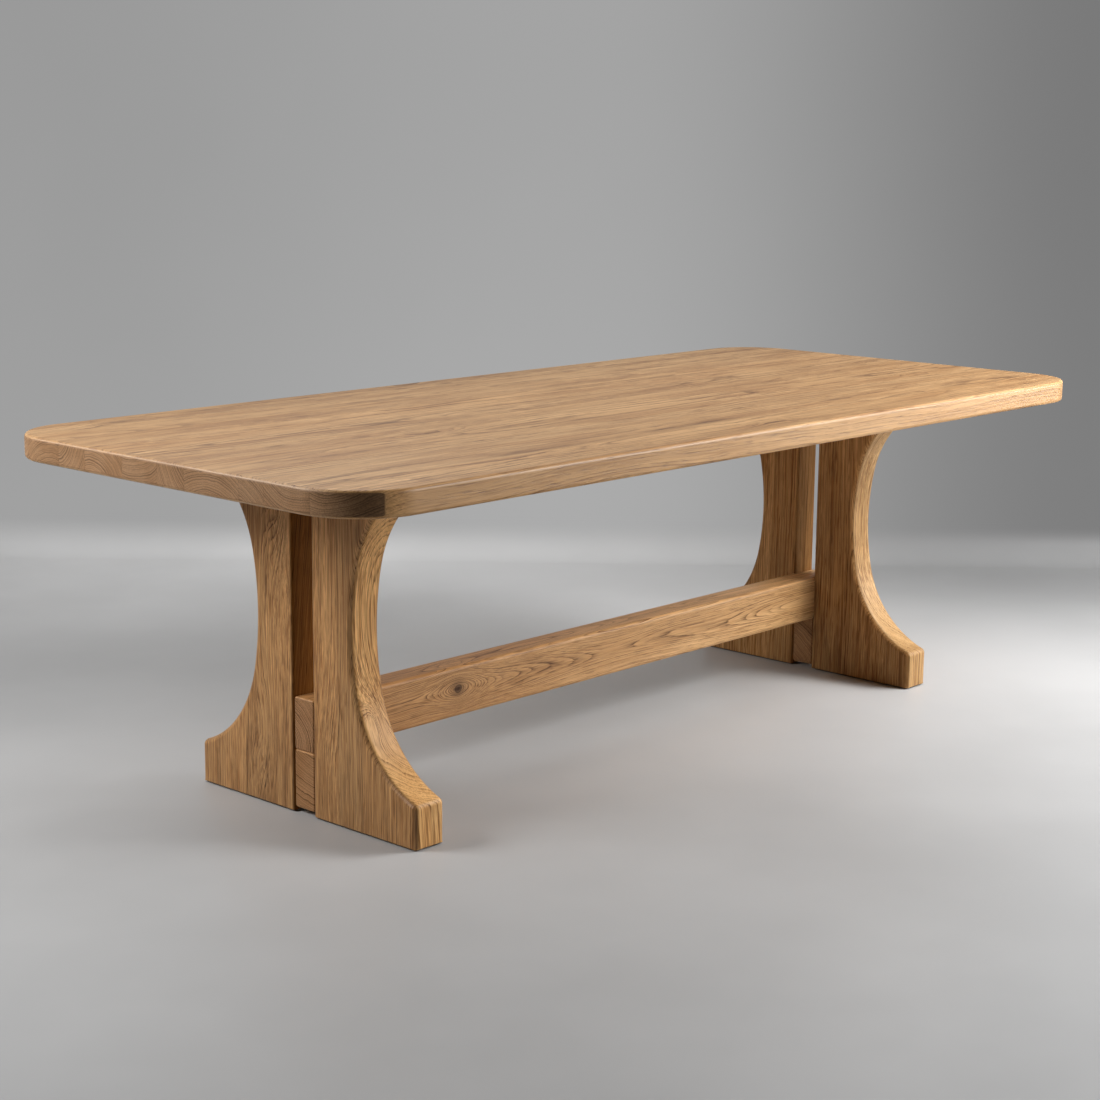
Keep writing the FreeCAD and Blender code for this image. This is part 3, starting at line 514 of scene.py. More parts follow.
def level_oak(name, pith, ring_width=0.0046, ring_depth=0.6, streak=1.0, band=0.0, hue=FRAME_HUE, tone=1.0,
              painted_edge_lighting=1.0, end_tone=1.0, far_lit_hue=None, light_fade=(0.0, 1.0), edge_depth=1.0, gleam=0.32,
              knots=(), bow=None, butt=(0.0, 0.0)):
    """Oak with its grain along the table: where its pith lay, and how that moves along the piece."""
    material, tree, place = new_finish(name)
    run = made(tree, "ShaderNodeSeparateXYZ", {0: place})
    flat = turned(tree, (0, 0, 1), 0.30, 0.70)
    end = times(tree, turned(tree, (1, 0, 0), 0.42, 0.445), reckon(tree, "SUBTRACT", 1.0, flat))
    inner = reckon(tree, "MAXIMUM", flat, end)

    log = reckon_vector(tree, "SUBTRACT", place, pith)
    if bow:
        bend = made(tree, "ShaderNodeCombineXYZ", {1: bell(tree, run, *bow)})
        log = reckon_vector(tree, "ADD", log, bend)
    log = reckon_vector(tree, "ADD", log, scaled(tree, (0.0, -butt[0], -butt[1]), end))

    # Tone of faces, edges and ends, with painted shade on the edges and painted shade where an end turns a
    # corner.
    shade = times(
        tree, spread(tree, inner, 0.0, 1.0, tone * painted_edge_lighting, tone),
        spread(tree, end, 0.0, 1.0, 1.0, end_tone))
    corner = times(tree, end, turned(tree, (1, 0, 0), 0.45, 0.97, -0.30, 0.0))
    shade = added(tree, shade, corner, shade)
    # Painted light and sheen: the hue turns paler from the near end to the far end.
    if far_lit_hue:
        hue = tint(tree, spread(tree, run, *light_fade), (*hue, 1), (*far_lit_hue, 1))
    # Painted light on the edges that turn towards -X.
    facing = lay(tree, "ShaderNodeNewGeometry").outputs["Normal"]
    lift = spread(tree, reckon_vector(tree, "DOT_PRODUCT", facing, (-1, 0, 0)), 0.02, 0.40, 0.0, 0.6)
    lift = times(tree, lift, reckon(tree, "SUBTRACT", 1.0, inner))
    colour = scaled(tree, hue, added(tree, shade, lift, shade))

    # Gleam, duller on edges, on the arrises along them and on end grain.
    arris = bell(tree, turned(tree, (0, 0, 1), 0.0, 1.0), 0.65, 0.28, -0.82)
    arris = times(tree, arris, turned(tree, (0, 1, 0), 0.25, 0.45))
    shine = spread(tree, flat, 0.0, 1.0, gleam * 0.58, gleam)
    shine = added(tree, shine, arris, shine)
    shine = times(tree, shine, spread(tree, end, 0.0, 1.0, 1.0, 0.45))
    return finish_oak(material, tree, place, shine, knots, {
        "Log": log, "Slant": turned(tree, (1, 0, 0), 0.0, 1.0), "End": end, "Tone": colour,
        "Ring Width": added(tree, end, END_RING - ring_width, ring_width),
        "Ring Depth": spread(tree, inner, 0.0, 1.0, ring_depth * edge_depth, ring_depth),
        "Streak": streak, "Band": times(tree, flat, band)})


def rounded_block(low, high, arris, end):
    """Mesh work of a bar along X with rounded arrises and eased ends."""
    work = bmesh.new()
    middle = (Vector(low) + Vector(high)) / 2
    size = Vector(high) - Vector(low)
    bmesh.ops.create_cube(work, size=1.0, matrix=Matrix.Translation(middle) @ Matrix.Diagonal((*size, 1)))
    long_edges = [e for e in work.edges if abs(e.verts[0].co.x - e.verts[1].co.x) > TOUCH]
    bmesh.ops.bevel(
        work, geom=long_edges, offset=arris, segments=ARRIS_CUTS, profile=0.5, affect="EDGES",
        clamp_overlap=False)
    for level in (low[0], high[0]):
        rim = [e for e in work.edges if all(abs(v.co.x - level) < TOUCH for v in e.verts)]
        bmesh.ops.bevel(
            work, geom=rim, offset=end, segments=END_CUTS, profile=0.5, affect="EDGES", clamp_overlap=False)
    return work


SPACER_OAK = {
    "left_lower_spacer": level_oak("oak_left_lower_spacer", (2.3, -0.090, 0.330), tone=1.08),
    "left_upper_spacer": level_oak("oak_left_upper_spacer", (5.1, 0.060, 0.520)),
    "right_lower_spacer": level_oak("oak_right_lower_spacer", (7.9, 0.080, -0.040)),
    "right_upper_spacer": level_oak("oak_right_upper_spacer", (9.4, -0.050, 0.560)),
}
for name, finish in SPACER_OAK.items():
    low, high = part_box(name)
    block = new_piece(name + "_block", rounded_block(low, high, SPACER_ARRIS, BLOCK_END))
    middle_x, through = (low.x + high.x) / 2, LEG_INNER + OVERRUN
    height = DOWEL_HEIGHTS[0 if "lower" in name else 1]
    bores = bmesh.new()
    for x in (middle_x - DOWEL_X, middle_x + DOWEL_X):
        drill(bores, (x, -through, height), (x, through, height), DOWEL_BORE)
    join_mesh(block, bores)
    if "lower" in name:
        below = (middle_x, 0, low.z - OVERRUN)
        for top, radius, sides in (
                (high.z + OVERRUN, BOLT_BORE, 32), (low.z + COUNTERBORE_DEPTH, COUNTERBORE, 48)):
            bores = bmesh.new()
            drill(bores, below, (middle_x, 0, top), radius, sides)
            join_mesh(block, bores)
    sand(block)
    block.data.materials.append(finish)
    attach(block, "root")
    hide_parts(name)


# Dowels: pairs of turned beech pins through each spacer and into both halves of its trestle.
# They are glued in and can't be seen once the trestle is together.
def beech():
    """Pale, even wood with short brown flecks along the pin."""
    material, tree, place = new_finish("beech")
    haze = mottle(tree, place, (90.0, 9.0, 90.0), 3.0)[0]
    fleck = spread(tree, mottle(tree, place, (1500.0, 160.0, 1500.0), 1.0)[0], 0.62, 0.72)
    colour = tint(tree, spread(tree, haze, 0.3, 0.7), (0.56, 0.36, 0.21, 1), (0.45, 0.27, 0.145, 1))
    colour = tint(tree, times(tree, fleck, 0.6), colour, (0.24, 0.115, 0.05, 1))
    rough = spread(tree, haze, 0.3, 0.7, 0.55, 0.65)
    close_finish(tree, haze, 0.2, 0.0003, Base_Color=colour, Roughness=rough)
    return material


def dress(names, material):
    """Give CAD pieces that stay in view their finish."""
    for name in names:
        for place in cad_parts[name].material_slots:
            place.material = material


def at_ends(*names):
    """The full names of pieces that both trestles have."""
    return [end + name for end in ("left", "right") for name in names]


dress(at_ends("_lower_dowels", "_upper_dowels"), beech())


# Felt strips: dark wool felt, cut a little short of the foot and glued under each half.
# They keep the oak off the floor and show as a thin dark line.
FELT_CORNER, FELT_EDGE, FELT_STEP, FELT_FRAY, FELT_WAVES = 0.004, 0.0008, 0.006, 0.0004, 130


def rounded_outline(half_x, half_y, corner, steps):
    """A rectangle with round corners about the origin, anticlockwise."""
    points = []
    for quarter, (sx, sy) in enumerate([(1, 1), (-1, 1), (-1, -1), (1, -1)]):
        for step in range(steps + 1):
            angle = math.pi / 2 * (quarter + step / steps)
            points.append((
                sx * (half_x - corner) + corner * math.cos(angle),
                sy * (half_y - corner) + corner * math.sin(angle)))
    return points


def wool_felt():
    """Matted dark wool: tangled fibres with a soft sheen."""
    material, tree, place = new_finish("wool_felt")
    tangle = mottle(tree, place, (900.0, 700.0, 900.0), 4.0, 0.7)[0]
    cloud = mottle(tree, place, (60.0, 60.0, 60.0), 2.0)[0]
    colour = tint(tree, spread(tree, tangle, 0.3, 0.7), (0.010, 0.010, 0.011, 1), (0.045, 0.043, 0.041, 1))
    colour = scaled(tree, colour, spread(tree, cloud, 0.3, 0.7, 0.85, 1.15))
    rough = spread(tree, tangle, 0.3, 0.7, 0.90, 1.0)
    close_finish(
        tree, tangle, 0.7, 0.0008, Base_Color=colour, Roughness=rough, Sheen_Weight=0.4,
        Sheen_Roughness=0.6)
    return material


def felt_strip(name):
    """A strip with soft, slightly uneven edges."""
    low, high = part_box(name)
    middle, half = (low + high) / 2, (high - low) / 2
    edge = []
    outline = rounded_outline(half.x, half.y, FELT_CORNER, 5)
    for here, point in enumerate(outline):
        start, stop = Vector(point), Vector(outline[(here + 1) % len(outline)])
        parts = max(1, round((stop - start).length / FELT_STEP))
        edge += [start.lerp(stop, part / parts) for part in range(parts)]
    work = bmesh.new()
    rims = []
    for inset, z in (
            (FELT_EDGE, low.z), (0.0, low.z + FELT_EDGE), (0.0, high.z - FELT_EDGE), (FELT_EDGE, high.z)):
        rim = []
        for point in edge:
            place = Vector((middle.x + point.x, middle.y + point.y, z))
            pull = inset + FELT_FRAY * (1 + noise.noise(place * FELT_WAVES))
            rim.append(work.verts.new((
                middle.x + point.x * (1 - pull / half.x), middle.y + point.y * (1 - pull / half.y), z)))
        rims.append(rim)
    skin(work, rims)
    return sand(new_piece(name + "_felt", work), 60)


WOOL_FELT = wool_felt()
for name in at_ends("_front_felt_strip", "_back_felt_strip"):
    strip = felt_strip(name)
    strip.data.materials.append(WOOL_FELT)
    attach(strip, "root")
    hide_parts(name)


# Stretcher: one long beam of knotty oak that ties the trestles together.
# Its shoulders stand against the inner faces and a tenon runs through each gap, where it
# lies on the lower spacer and shows its end grain; a threaded insert is let in from below.
SHOULDER_X, TENON_Y, BEAM_ARRIS, INSERT_BORE, INSERT_DEPTH = 0.791, 0.0288, 0.009, 0.0081, 0.034
BEAM_KNOT = ((-0.473, -0.036, 0.192), (0.062, 0.5, 0.038), (0.0115, 0.5, 0.0105), -0.026, 1.0)
low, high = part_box("stretcher")
beam = new_piece("stretcher_beam", rounded_block(
    (-SHOULDER_X, low.y, low.z), (SHOULDER_X, high.y, high.z), BEAM_ARRIS, BLOCK_END))
join_mesh(beam, rounded_block(
    (low.x, -TENON_Y, low.z), (high.x, TENON_Y, high.z), SPACER_ARRIS, BLOCK_END), "UNION")
bores = bmesh.new()
for x in (-TRESTLE_X, TRESTLE_X):
    drill(bores, (x, 0, low.z - OVERRUN), (x, 0, low.z + INSERT_DEPTH), INSERT_BORE)
sand(join_mesh(beam, bores))
# Its hue pales towards the far trestle as painted light and sheen, and its upright faces carry painted
# shade.
beam.data.materials.append(level_oak(
    "oak_stretcher", (0.0, -0.018, 0.186), ring_width=0.0027, ring_depth=1.15, streak=0.6,
    hue=(0.94, 0.87, 0.82), far_lit_hue=(1.13, 1.19, 1.32), light_fade=(-0.75, 0.65), gleam=0.50, tone=1.27,
    painted_edge_lighting=0.80, end_tone=0.87, bow=(0.04, 0.45, -0.025), butt=(0.068, -0.036), knots=[BEAM_KNOT]))
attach(beam, "root")
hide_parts("stretcher")


# Stretcher bolts: one up through each lower spacer into a brass insert in the tenon.
# A plain zinc hexagon bolt on a washer, sunk in a counterbore so that it clears the floor.
STRETCHER_BOLT = {"Shank Diameter": 0.010, "Shank Length": 0.136, "Head Width": 0.017, "Head Height": 0.0064}
STRETCHER_WASHER = {"Outer Diameter": 0.021, "Hole Diameter": 0.0102, "Thickness": 0.002}
HEAD_FACE, HEAD_CHAMFER, SHANK_SUNK, WASHER_ROUND, BOLT_SEAT = 0.48, 1.732, 0.0002, 0.0003, 0.025
BOLT_SEED, WASHER_SEED = 5, 9


def new_pattern(name, sizes):
    """An empty Geometry Nodes tree with named sizes, and its input's outputs."""
    inputs = [("Points", "Geometry"), *((label, "Float") for label in sizes), ("Finish", "Material")]
    return new_group(name, inputs, [("Geometry", "Geometry")], "Geometry")


def close_pattern(tree, given, shape, seed):
    """Set a shape on every point, each turned its own way, as one mesh with its finish."""
    turn = made(
        tree, "FunctionNodeRandomValue", {1: (0, 0, 2 * math.pi), "Seed": seed}, data_type="FLOAT_VECTOR")
    turn = made(tree, "FunctionNodeEulerToRotation", {0: turn})
    laid = made(tree, "GeometryNodeInstanceOnPoints", {
        "Points": given["Points"], "Instance": shape, "Rotation": turn})
    laid = made(tree, "GeometryNodeRealizeInstances", {0: laid})
    laid = made(tree, "GeometryNodeSetMaterial", {0: laid, "Material": given["Finish"]})
    lay(tree, "NodeGroupOutput", {0: laid})
    return tree


def raised(tree, shape, rise):
    """A shape moved up."""
    rise = made(tree, "ShaderNodeCombineXYZ", {2: rise})
    return made(tree, "GeometryNodeTransform", {"Geometry": shape, "Translation": rise})


def combined(tree, operation, *shapes):
    """Shapes made one, from what they share or from all of them."""
    both = lay(tree, "GeometryNodeMeshBoolean", operation=operation, solver="EXACT")
    for shape in shapes:
        tree.links.new(shape, both.inputs["Mesh 2"])
    return both.outputs[0]


def hex_bolts():
    """Hexagon bolts that point up from their seats, with the head's corners chamfered below."""
    tree, given = new_pattern("hex bolts", STRETCHER_BOLT)
    deep, long = given["Head Height"], given["Shank Length"]
    corners = times(tree, given["Head Width"], 0.5 / math.cos(math.pi / 6))
    head = made(tree, "GeometryNodeMeshCylinder", {
        "Vertices": 6, "Radius": corners, "Depth": deep})
    narrow = times(tree, given["Head Width"], HEAD_FACE)
    wide = added(tree, deep, HEAD_CHAMFER, narrow)
    cone = made(tree, "GeometryNodeMeshCone", {
        "Vertices": 64, "Radius Top": wide, "Radius Bottom": narrow, "Depth": deep})
    cone_size = lay(tree, "GeometryNodeBoundBox", {0: cone}).outputs
    centre = scaled(tree, reckon_vector(tree, "ADD", cone_size[1], cone_size[2]), -0.5)
    cone = made(tree, "GeometryNodeTransform", {"Geometry": cone, "Translation": centre})
    head = raised(tree, combined(tree, "INTERSECT", head, cone), times(tree, deep, -0.5))
    shank = made(tree, "GeometryNodeMeshCylinder", {
        "Vertices": 40, "Radius": times(tree, given["Shank Diameter"], 0.5), "Depth": long})
    shank = raised(tree, shank, reckon(tree, "SUBTRACT", times(tree, long, 0.5), SHANK_SUNK))
    return close_pattern(tree, given, combined(tree, "UNION", head, shank), BOLT_SEED)


def flat_washers():
    """Flat rings that lie on their seats."""
    tree, given = new_pattern("flat washers", STRETCHER_WASHER)
    outer, hole, thick = (given[label] for label in STRETCHER_WASHER)
    middle = times(tree, reckon(tree, "ADD", outer, hole), 0.25)
    band = times(tree, reckon(tree, "SUBTRACT", outer, hole), 0.5)
    circle = made(tree, "GeometryNodeCurvePrimitiveCircle", {"Resolution": 64, "Radius": middle})
    section = made(tree, "GeometryNodeCurvePrimitiveQuadrilateral", {
        "Width": band, "Height": thick})
    section = made(tree, "GeometryNodeFilletCurve", {"Curve": section, "Radius": WASHER_ROUND})
    ring = made(tree, "GeometryNodeCurveToMesh", {"Curve": circle, "Profile Curve": section})
    return close_pattern(tree, given, raised(tree, ring, times(tree, thick, 0.5)), WASHER_SEED)


def bright_zinc():
    """Zinc plate on steel: bluish bright metal, dulled in patches."""
    material, tree, place = new_finish("bright_zinc")
    dull = mottle(tree, place, (240.0, 240.0, 240.0), 3.0)[0]
    fine = mottle(tree, place, (2600.0, 2600.0, 2600.0), 2.0)[0]
    colour = tint(tree, spread(tree, dull, 0.35, 0.65), (0.60, 0.62, 0.65, 1), (0.44, 0.45, 0.46, 1))
    rough = spread(tree, dull, 0.35, 0.65, 0.26, 0.42)
    close_finish(tree, fine, 0.15, 0.0001, Base_Color=colour, Roughness=rough, Metallic=1.0)
    return material


def turned_brass():
    """Turned brass, with fine rings left by the tool."""
    material, tree, place = new_finish("turned_brass")
    rings = mottle(tree, place, (120.0, 120.0, 4200.0), 2.0)[0]
    colour = tint(tree, spread(tree, rings, 0.3, 0.7), (0.68, 0.46, 0.17, 1), (0.52, 0.33, 0.11, 1))
    rough = spread(tree, rings, 0.3, 0.7, 0.24, 0.36)
    close_finish(tree, rings, 0.3, 0.0001, Base_Color=colour, Roughness=rough, Metallic=1.0)
    return material


def fasten(name, points, tree, sizes, finish, replaced):
    """Set a pattern of fasteners on points and make it one plain mesh."""
    mesh = bpy.data.meshes.new(name)
    mesh.from_pydata(points, [], [])
    piece = bpy.data.objects.new(name, mesh)
    step = piece.modifiers.new("pattern", "NODES")
    step.node_group = tree
    for label, value in {**sizes, "Finish": finish}.items():
        step[tree.interface.items_tree[label].identifier] = value
    bpy.context.scene.collection.objects.link(piece)
    sand(settle(piece))
    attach(piece, "root")
    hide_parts(*replaced)


HEX_BOLTS, FLAT_WASHERS = hex_bolts(), flat_washers()
BRIGHT_ZINC, TURNED_BRASS = bright_zinc(), turned_brass()
seats = [(x, 0.0, BOLT_SEAT) for x in (-TRESTLE_X, TRESTLE_X)]
fasten("stretcher_bolts", seats, HEX_BOLTS, STRETCHER_BOLT, BRIGHT_ZINC, at_ends("_stretcher_bolt"))
fasten(
    "stretcher_washers", seats, FLAT_WASHERS, STRETCHER_WASHER, BRIGHT_ZINC, at_ends("_stretcher_washer"))
dress(at_ends("_stretcher_insert"), TURNED_BRASS)


# Top: ten oak boards glued edge to edge, then sawn to one outline with round corners.
# The arrises are rounded over above and below, and the underside is recessed for the
# mounting plates and bored for the threaded inserts.
TOP_HALF_LENGTH, TOP_HALF_WIDTH, TOP_CORNER, TOP_ARRIS = 1.200, 0.525, 0.140, 0.008
TOP_LOW, TOP_HIGH, GLUE_LINE, ARRIS_STEPS, CORNER_STEPS = 0.700, 0.750, 0.00025, 7, 32
RECESS_X, RECESS_Y, RECESS_CORNER, RECESS_DEPTH, RECESS_OVERCUT = 0.0734, 0.2204, 0.0124, 0.006, 0.004
EAR_X, EAR_ROWS, TOP_INSERT_BORE, TOP_INSERT_END = 0.056, (-0.170, 0.0, 0.170), 0.0071, 0.735
BORE_MARGIN, LOG_START, LOG_STEP = 0.02, 1.3, 3.7


def top_panel():
    """Mesh work of the whole panel, before it is told apart into boards."""
    levels = []
    for step in range(ARRIS_STEPS + 1):
        angle = math.pi / 2 * step / ARRIS_STEPS
        levels.append((TOP_ARRIS * (1 - math.sin(angle)), TOP_LOW + TOP_ARRIS * (1 - math.cos(angle))))
    levels += [(inset, TOP_LOW + TOP_HIGH - z) for inset, z in reversed(levels)]
    work = bmesh.new()
    rims = []
    for inset, z in levels:
        outline = rounded_outline(
            TOP_HALF_LENGTH - inset, TOP_HALF_WIDTH - inset, TOP_CORNER - inset, CORNER_STEPS)
        rims.append([work.verts.new((x, y, z)) for x, y in outline])
    skin(work, rims)
    return work


def top_board(name):
    """One board: the panel between two glue lines, with the plates' recesses cut in."""
    low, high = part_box(name)
    work = top_panel()
    for level, way in ((low.y, -1), (high.y, 1)):
        if abs(level) > TOP_HALF_WIDTH - 1e-4:
            continue
        parts = work.verts[:] + work.edges[:] + work.faces[:]
        cut = bmesh.ops.bisect_plane(
            work, geom=parts, dist=1e-7, plane_co=(0, level, 0), plane_no=(0, way, 0), clear_outer=True)
        rim = [item for item in cut["geom_cut"] if isinstance(item, bmesh.types.BMEdge)]
        bmesh.ops.contextual_create(work, geom=rim)
        rim = [e for e in work.edges if all(abs(v.co.y - level) < TOUCH for v in e.verts)]
        bmesh.ops.bevel(work, geom=rim, offset=GLUE_LINE, segments=1, affect="EDGES", clamp_overlap=False)
    board = new_piece(name + "_oak", work)
    if low.y > RECESS_Y or high.y < -RECESS_Y:
        return sand(board)
    recess, bores = bmesh.new(), bmesh.new()
    outline = rounded_outline(RECESS_X, RECESS_Y, RECESS_CORNER, 8)
    for middle_x in (-TRESTLE_X, TRESTLE_X):
        skin(recess, [
            [recess.verts.new((x + middle_x, y, z)) for x, y in outline]
            for z in (TOP_LOW - RECESS_OVERCUT, TOP_LOW + RECESS_DEPTH)])
        for x in (middle_x - EAR_X, middle_x + EAR_X):
            for row in EAR_ROWS:
                if low.y - BORE_MARGIN < row < high.y + BORE_MARGIN:
                    drill(bores, (x, row, TOP_LOW), (x, row, TOP_INSERT_END), TOP_INSERT_BORE)
    join_mesh(board, recess)
    if bores.verts:
        join_mesh(board, bores)
    else:
        bores.free()
    return sand(board)


# For each board, from the front: where its pith lay from the board's middle (y, z), its tone,
# which differs from board to board and holds painted shade, darker towards the back, and the
# knots on its face as (x, y, size).
TOP_HUE, KNOT_LIFT, KNOT_DARK = (1.045, 1.05, 1.075), 0.016, 0.66
KNOT_REACH, KNOT_HEART = (0.075, 0.026), (0.017, 0.0045)
TOP_BOARDS = [
    ((0.036, 0.085), 1.10, [(0.022, -0.467, 1.0)]),
    ((-0.030, 0.110), 1.03, []),
    ((0.050, -0.075), 0.97, [(0.142, -0.283, 0.8)]),
    ((0.010, -0.120), 1.02, [(-0.606, -0.088, 1.0), (0.980, -0.180, 0.9)]),
    ((-0.080, 0.040), 1.02, [(-0.934, -0.011, 1.1), (0.581, -0.033, 0.9)]),
    ((0.020, 0.095), 0.98, [(1.124, 0.047, 0.9)]),
    ((0.035, -0.065), 1.05, []),
    ((0.070, 0.055), 0.98, []),
    ((-0.030, -0.100), 0.93, []),
    ((0.000, 0.085), 0.88, [(-0.956, 0.456, 1.4), (-0.103, 0.500, 1.2)]),
]
for order, ((pith_y, pith_z), tone, marks) in enumerate(TOP_BOARDS):
    name = "top_board_%02d" % (order + 1)
    board = top_board(name)
    low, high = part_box(name)
    pith = (LOG_STEP * order + LOG_START, (low.y + high.y) / 2 + pith_y, (TOP_LOW + TOP_HIGH) / 2 + pith_z)
    knots = [
        ((x, y, TOP_HIGH), (KNOT_REACH[0] * size, KNOT_REACH[1] * size, 0.5),
         (KNOT_HEART[0] * size, KNOT_HEART[1] * size, 0.5), KNOT_LIFT, KNOT_DARK)
        for x, y, size in marks
    ]
    board.data.materials.append(level_oak(
        "oak_" + name, pith, ring_width=0.0062, ring_depth=0.95, streak=0.55, band=0.50, hue=TOP_HUE,
        tone=tone, painted_edge_lighting=0.75, edge_depth=0.85, end_tone=0.93, gleam=0.65, knots=knots))
    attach(board, "root")
    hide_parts(name)


# Mounting plates: flat steel, coated black, let flush into the underside of the top.
# Eight countersunk zinc screws hold each to its trestle's head; slots in its ears let the
# top swell and shrink on the bolts.
def black_coat():
    """Baked black powder on steel: a fine pebbled skin, rubbed a little in places."""
    material, tree, place = new_finish("black_coat")
    pebble = mottle(tree, place, (1400.0, 1400.0, 1400.0), 2.0)[0]
    rub = mottle(tree, place, (22.0, 9.0, 22.0), 3.0)[0]
    colour = tint(tree, spread(tree, rub, 0.45, 0.75), (0.012, 0.012, 0.013, 1), (0.030, 0.029, 0.028, 1))
    rough = spread(tree, rub, 0.35, 0.70, 0.55, 0.42)
    close_finish(tree, pebble, 0.4, 0.0002, Base_Color=colour, Roughness=rough)
    return material


dress(at_ends("_mounting_plate"), black_coat())
dress(at_ends("_plate_screws"), BRIGHT_ZINC)


# Top bolts: six at each trestle, up through the plate's slots into brass inserts in the top.
# Each has a wide zinc washer that bridges its slot.
TOP_BOLT = {"Shank Diameter": 0.008, "Shank Length": 0.035, "Head Width": 0.013, "Head Height": 0.0053}
TOP_WASHER = {"Outer Diameter": 0.024, "Hole Diameter": 0.0082, "Thickness": 0.002}
seats = [
    (sign * TRESTLE_X + ear * EAR_X, row, TOP_LOW - TOP_WASHER["Thickness"])
    for sign in (-1, 1) for ear in (-1, 1) for row in EAR_ROWS
]
fasten("top_bolts", seats, HEX_BOLTS, TOP_BOLT, BRIGHT_ZINC, at_ends("_top_bolts"))
fasten("top_washers", seats, FLAT_WASHERS, TOP_WASHER, BRIGHT_ZINC, at_ends("_top_washers"))
dress(at_ends("_top_inserts"), TURNED_BRASS)


# Floor and wall: a plain grey studio sweep behind the table, not part of it.
# The wall glows in a soft grey to the eye; the floor is matt and takes the table's shadow.
VIEW_YAW, WALL_AWAY, WALL_BEND, BEND_STEPS = 42.63, 1.97, 0.14, 12
STAGE_HALF, STAGE_NEAR, WALL_HIGH = 9.0, -9.0, 6.0
ahead = Vector((math.cos(math.radians(VIEW_YAW)), math.sin(math.radians(VIEW_YAW)), 0))
aside = Vector((-ahead.y, ahead.x, 0))
profile = [(STAGE_NEAR, 0.0), (WALL_AWAY - WALL_BEND, 0.0)]
for step in range(1, BEND_STEPS + 1):
    angle = math.pi / 2 * step / BEND_STEPS
    profile.append((
        WALL_AWAY - WALL_BEND * (1 - math.sin(angle)), WALL_BEND * (1 - math.cos(angle))))
profile.append((WALL_AWAY, WALL_HIGH))
work = bmesh.new()
edges = [
    [work.verts.new(ahead * run + aside * side + Vector((0, 0, rise))) for run, rise in profile]
    for side in (STAGE_HALF, -STAGE_HALF)
]
for here in range(len(profile) - 1):
    work.faces.new((edges[0][here], edges[1][here], edges[1][here + 1], edges[0][here + 1]))
mesh = bpy.data.meshes.new("sweep")
work.to_mesh(mesh)
work.free()
for face in mesh.polygons:
    face.use_smooth = True
sweep = bpy.data.objects.new("sweep", mesh)
bpy.context.scene.collection.objects.link(sweep)


def seen_plainly(tree):
    """Whether a ray comes from the eye, straight or by gloss or glass, and its kinds."""
    kinds = lay(tree, "ShaderNodeLightPath").outputs
    seen = reckon(tree, "MAXIMUM", kinds["Is Camera Ray"], kinds["Is Glossy Ray"])
    return reckon(tree, "MAXIMUM", seen, kinds["Is Transmission Ray"]), kinds


material, tree, place = new_finish("grey_sweep")
faint = mottle(tree, place, (1.1, 1.1, 1.1), 4.0, 0.55)[0]
lateral = reckon_vector(tree, "DOT_PRODUCT", place, tuple(-aside))
run = reckon_vector(tree, "DOT_PRODUCT", place, tuple(ahead))
rise = lay(tree, "ShaderNodeSeparateXYZ", {0: place}).outputs[2]
# Painted light on the floor: near the table lighter to the right, further back lighter on the left and
# darker on the right.
front_grey = spread(tree, lateral, -0.2, 1.0, 0.410, 0.490)
back_grey = spread(tree, lateral, -1.3, 1.4, 0.655, 0.21)
floor_grey = reckon(tree, "SUBTRACT", back_grey, front_grey)
floor_grey = added(tree, floor_grey, spread(tree, run, 0.4, 1.8), front_grey)
floor_grey = times(tree, floor_grey, spread(tree, faint, 0.3, 0.7, 0.94, 1.06))
# Painted light in the wall's glow: darker to the right and towards the top.
wall_grey = times(
    tree, spread(tree, lateral, -1.6, -0.1, 0.335, 0.385), spread(tree, lateral, 0.0, 1.6, 1.0, 0.52),
    spread(tree, rise, 0.0, 1.6, 1.06, 0.97), spread(tree, faint, 0.3, 0.7, 0.99, 1.01))
matt = made(tree, "ShaderNodeBsdfPrincipled", {
    "Base Color": scaled(tree, (1.0, 1.0, 1.0), floor_grey), "Roughness": 0.42, "Specular IOR Level": 0.35})
glow = made(tree, "ShaderNodeEmission", {0: scaled(tree, (1.0, 1.0, 1.0), wall_grey), 1: 1.0})
seen, kinds = seen_plainly(tree)
upright = spread(tree, rise, 0.002, WALL_BEND * 0.8)
wall = made(tree, "ShaderNodeMixShader", {0: times(tree, seen, upright), 1: matt, 2: glow})
behind = times(tree, lay(tree, "ShaderNodeNewGeometry").outputs["Backfacing"], kinds["Is Camera Ray"])
clear = made(tree, "ShaderNodeBsdfTransparent")
both = made(tree, "ShaderNodeMixShader", {0: behind, 1: wall, 2: clear})
lay(tree, "ShaderNodeOutputMaterial", {"Surface": both})
mesh.materials.append(material)


# Light: soft boxes at the right front, low at the right, at the front and at the left back,
# and one along the wall. The room itself is a dim grey.
def soft_box(name, place, target, width, height, power):
    """A rectangular soft light turned towards a point."""
    lamp = bpy.data.lights.new(name, "AREA")
    lamp.shape, lamp.size, lamp.size_y, lamp.energy = "RECTANGLE", width, height, power
    box = bpy.data.objects.new(name, lamp)
    box.location = place
    box.rotation_mode = "QUATERNION"
    box.rotation_quaternion = (Vector(target) - Vector(place)).to_track_quat("-Z", "Y")
    box.visible_camera = False
    bpy.context.scene.collection.objects.link(box)


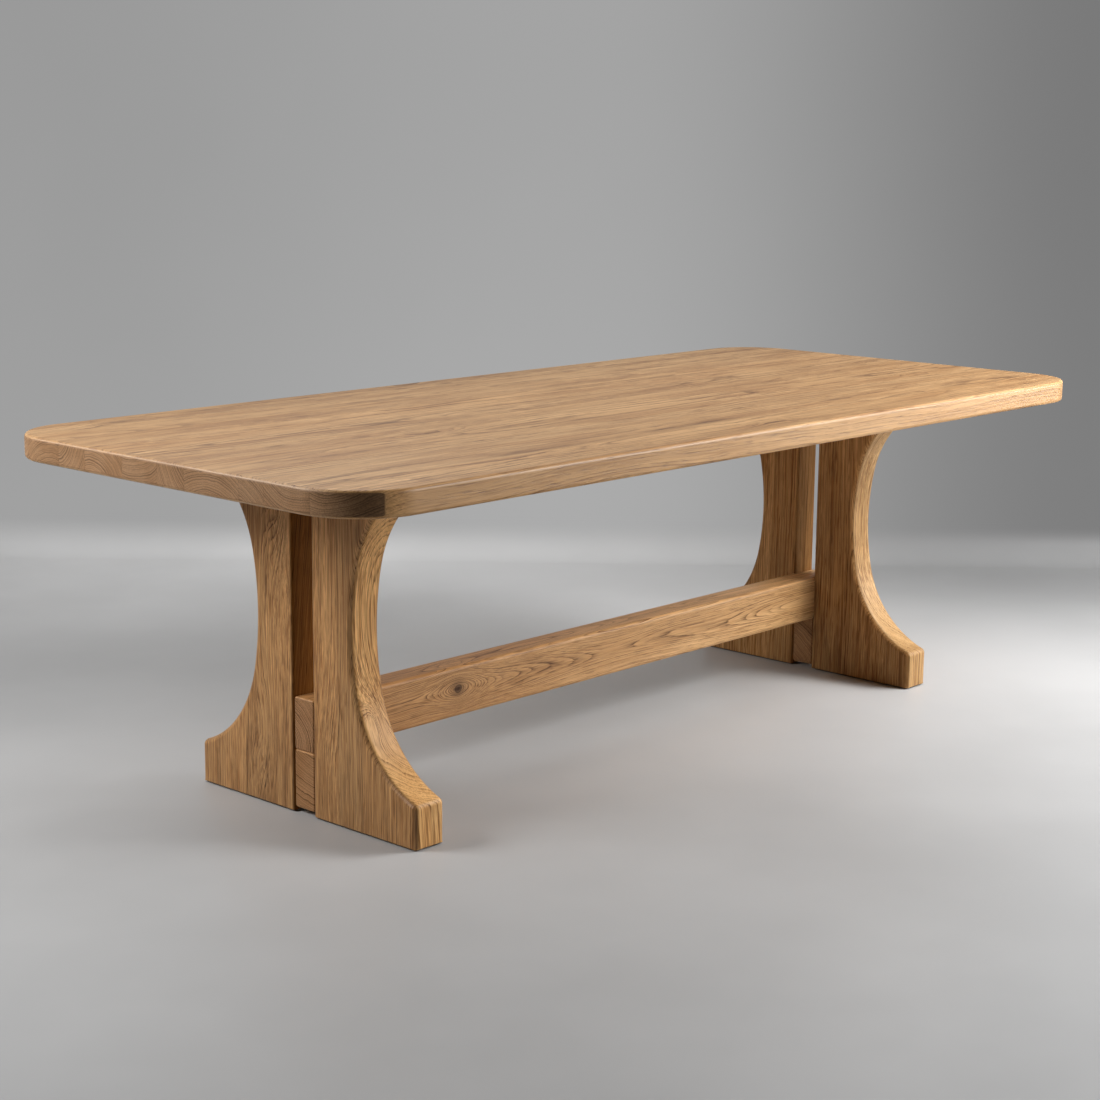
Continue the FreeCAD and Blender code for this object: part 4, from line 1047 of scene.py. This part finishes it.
soft_box("right_front", (2.2, -2.0, 2.3), (0.6, -0.3, 0.6), 1.4, 1.2, 140)
soft_box("right_low", (3.0, -1.8, 1.0), (0.8, -0.4, 0.6), 1.1, 0.9, 37)
soft_box("front", (1.8, -3.0, 1.6), (0.5, -0.3, 0.5), 1.8, 1.4, 52)
soft_box("left_back", (-2.3, 1.1, 1.6), (-1.0, 0.1, 0.6), 1.2, 1.0, 52)
soft_box("over_wall", (-0.3, 1.2, 2.4), (-0.3, 0.0, 0.6), 2.2, 0.8, 14)

ROOM_GREY, ROOM_LIGHT = (0.32, 0.32, 0.32, 1), 0.02
world = bpy.data.worlds.new("room")
bpy.context.scene.world = world
world.use_nodes = True
tree = world.node_tree
tree.nodes.clear()
strength = spread(tree, seen_plainly(tree)[0], 0.0, 1.0, ROOM_LIGHT, 1.0)
room = made(tree, "ShaderNodeBackground", {0: ROOM_GREY, 1: strength})
lay(tree, "ShaderNodeOutputWorld", {"Surface": room})


# Camera: at the photograph's viewing angle, its lens worked out for a square frame 1100 pixels wide.
CAMERA_PLACE, CAMERA_PITCH, CAMERA_ROLL = (-3.56874, -3.14277, 1.37261), 11.40, 0.56
CAMERA_FOCUS, FRAME_PIXELS, SENSOR = 2165.5, 1100, 36.0
yaw, pitch, roll = (math.radians(angle) for angle in (VIEW_YAW, CAMERA_PITCH, CAMERA_ROLL))
forward = Vector((math.cos(pitch) * math.cos(yaw), math.cos(pitch) * math.sin(yaw), -math.sin(pitch)))
right = forward.cross(Vector((0, 0, 1))).normalized()
up = right.cross(forward)
level = right * math.cos(roll) + up * math.sin(roll)
upward = up * math.cos(roll) - right * math.sin(roll)
facing = Matrix((level, upward, -forward)).transposed().to_4x4()
lens = bpy.data.cameras.new("camera")
lens.sensor_width = SENSOR
lens.lens = SENSOR * CAMERA_FOCUS / FRAME_PIXELS
camera = bpy.data.objects.new("camera", lens)
camera.matrix_world = Matrix.Translation(CAMERA_PLACE) @ facing
bpy.context.scene.collection.objects.link(camera)
bpy.context.scene.camera = camera
bpy.context.scene.view_settings.view_transform = "Standard"
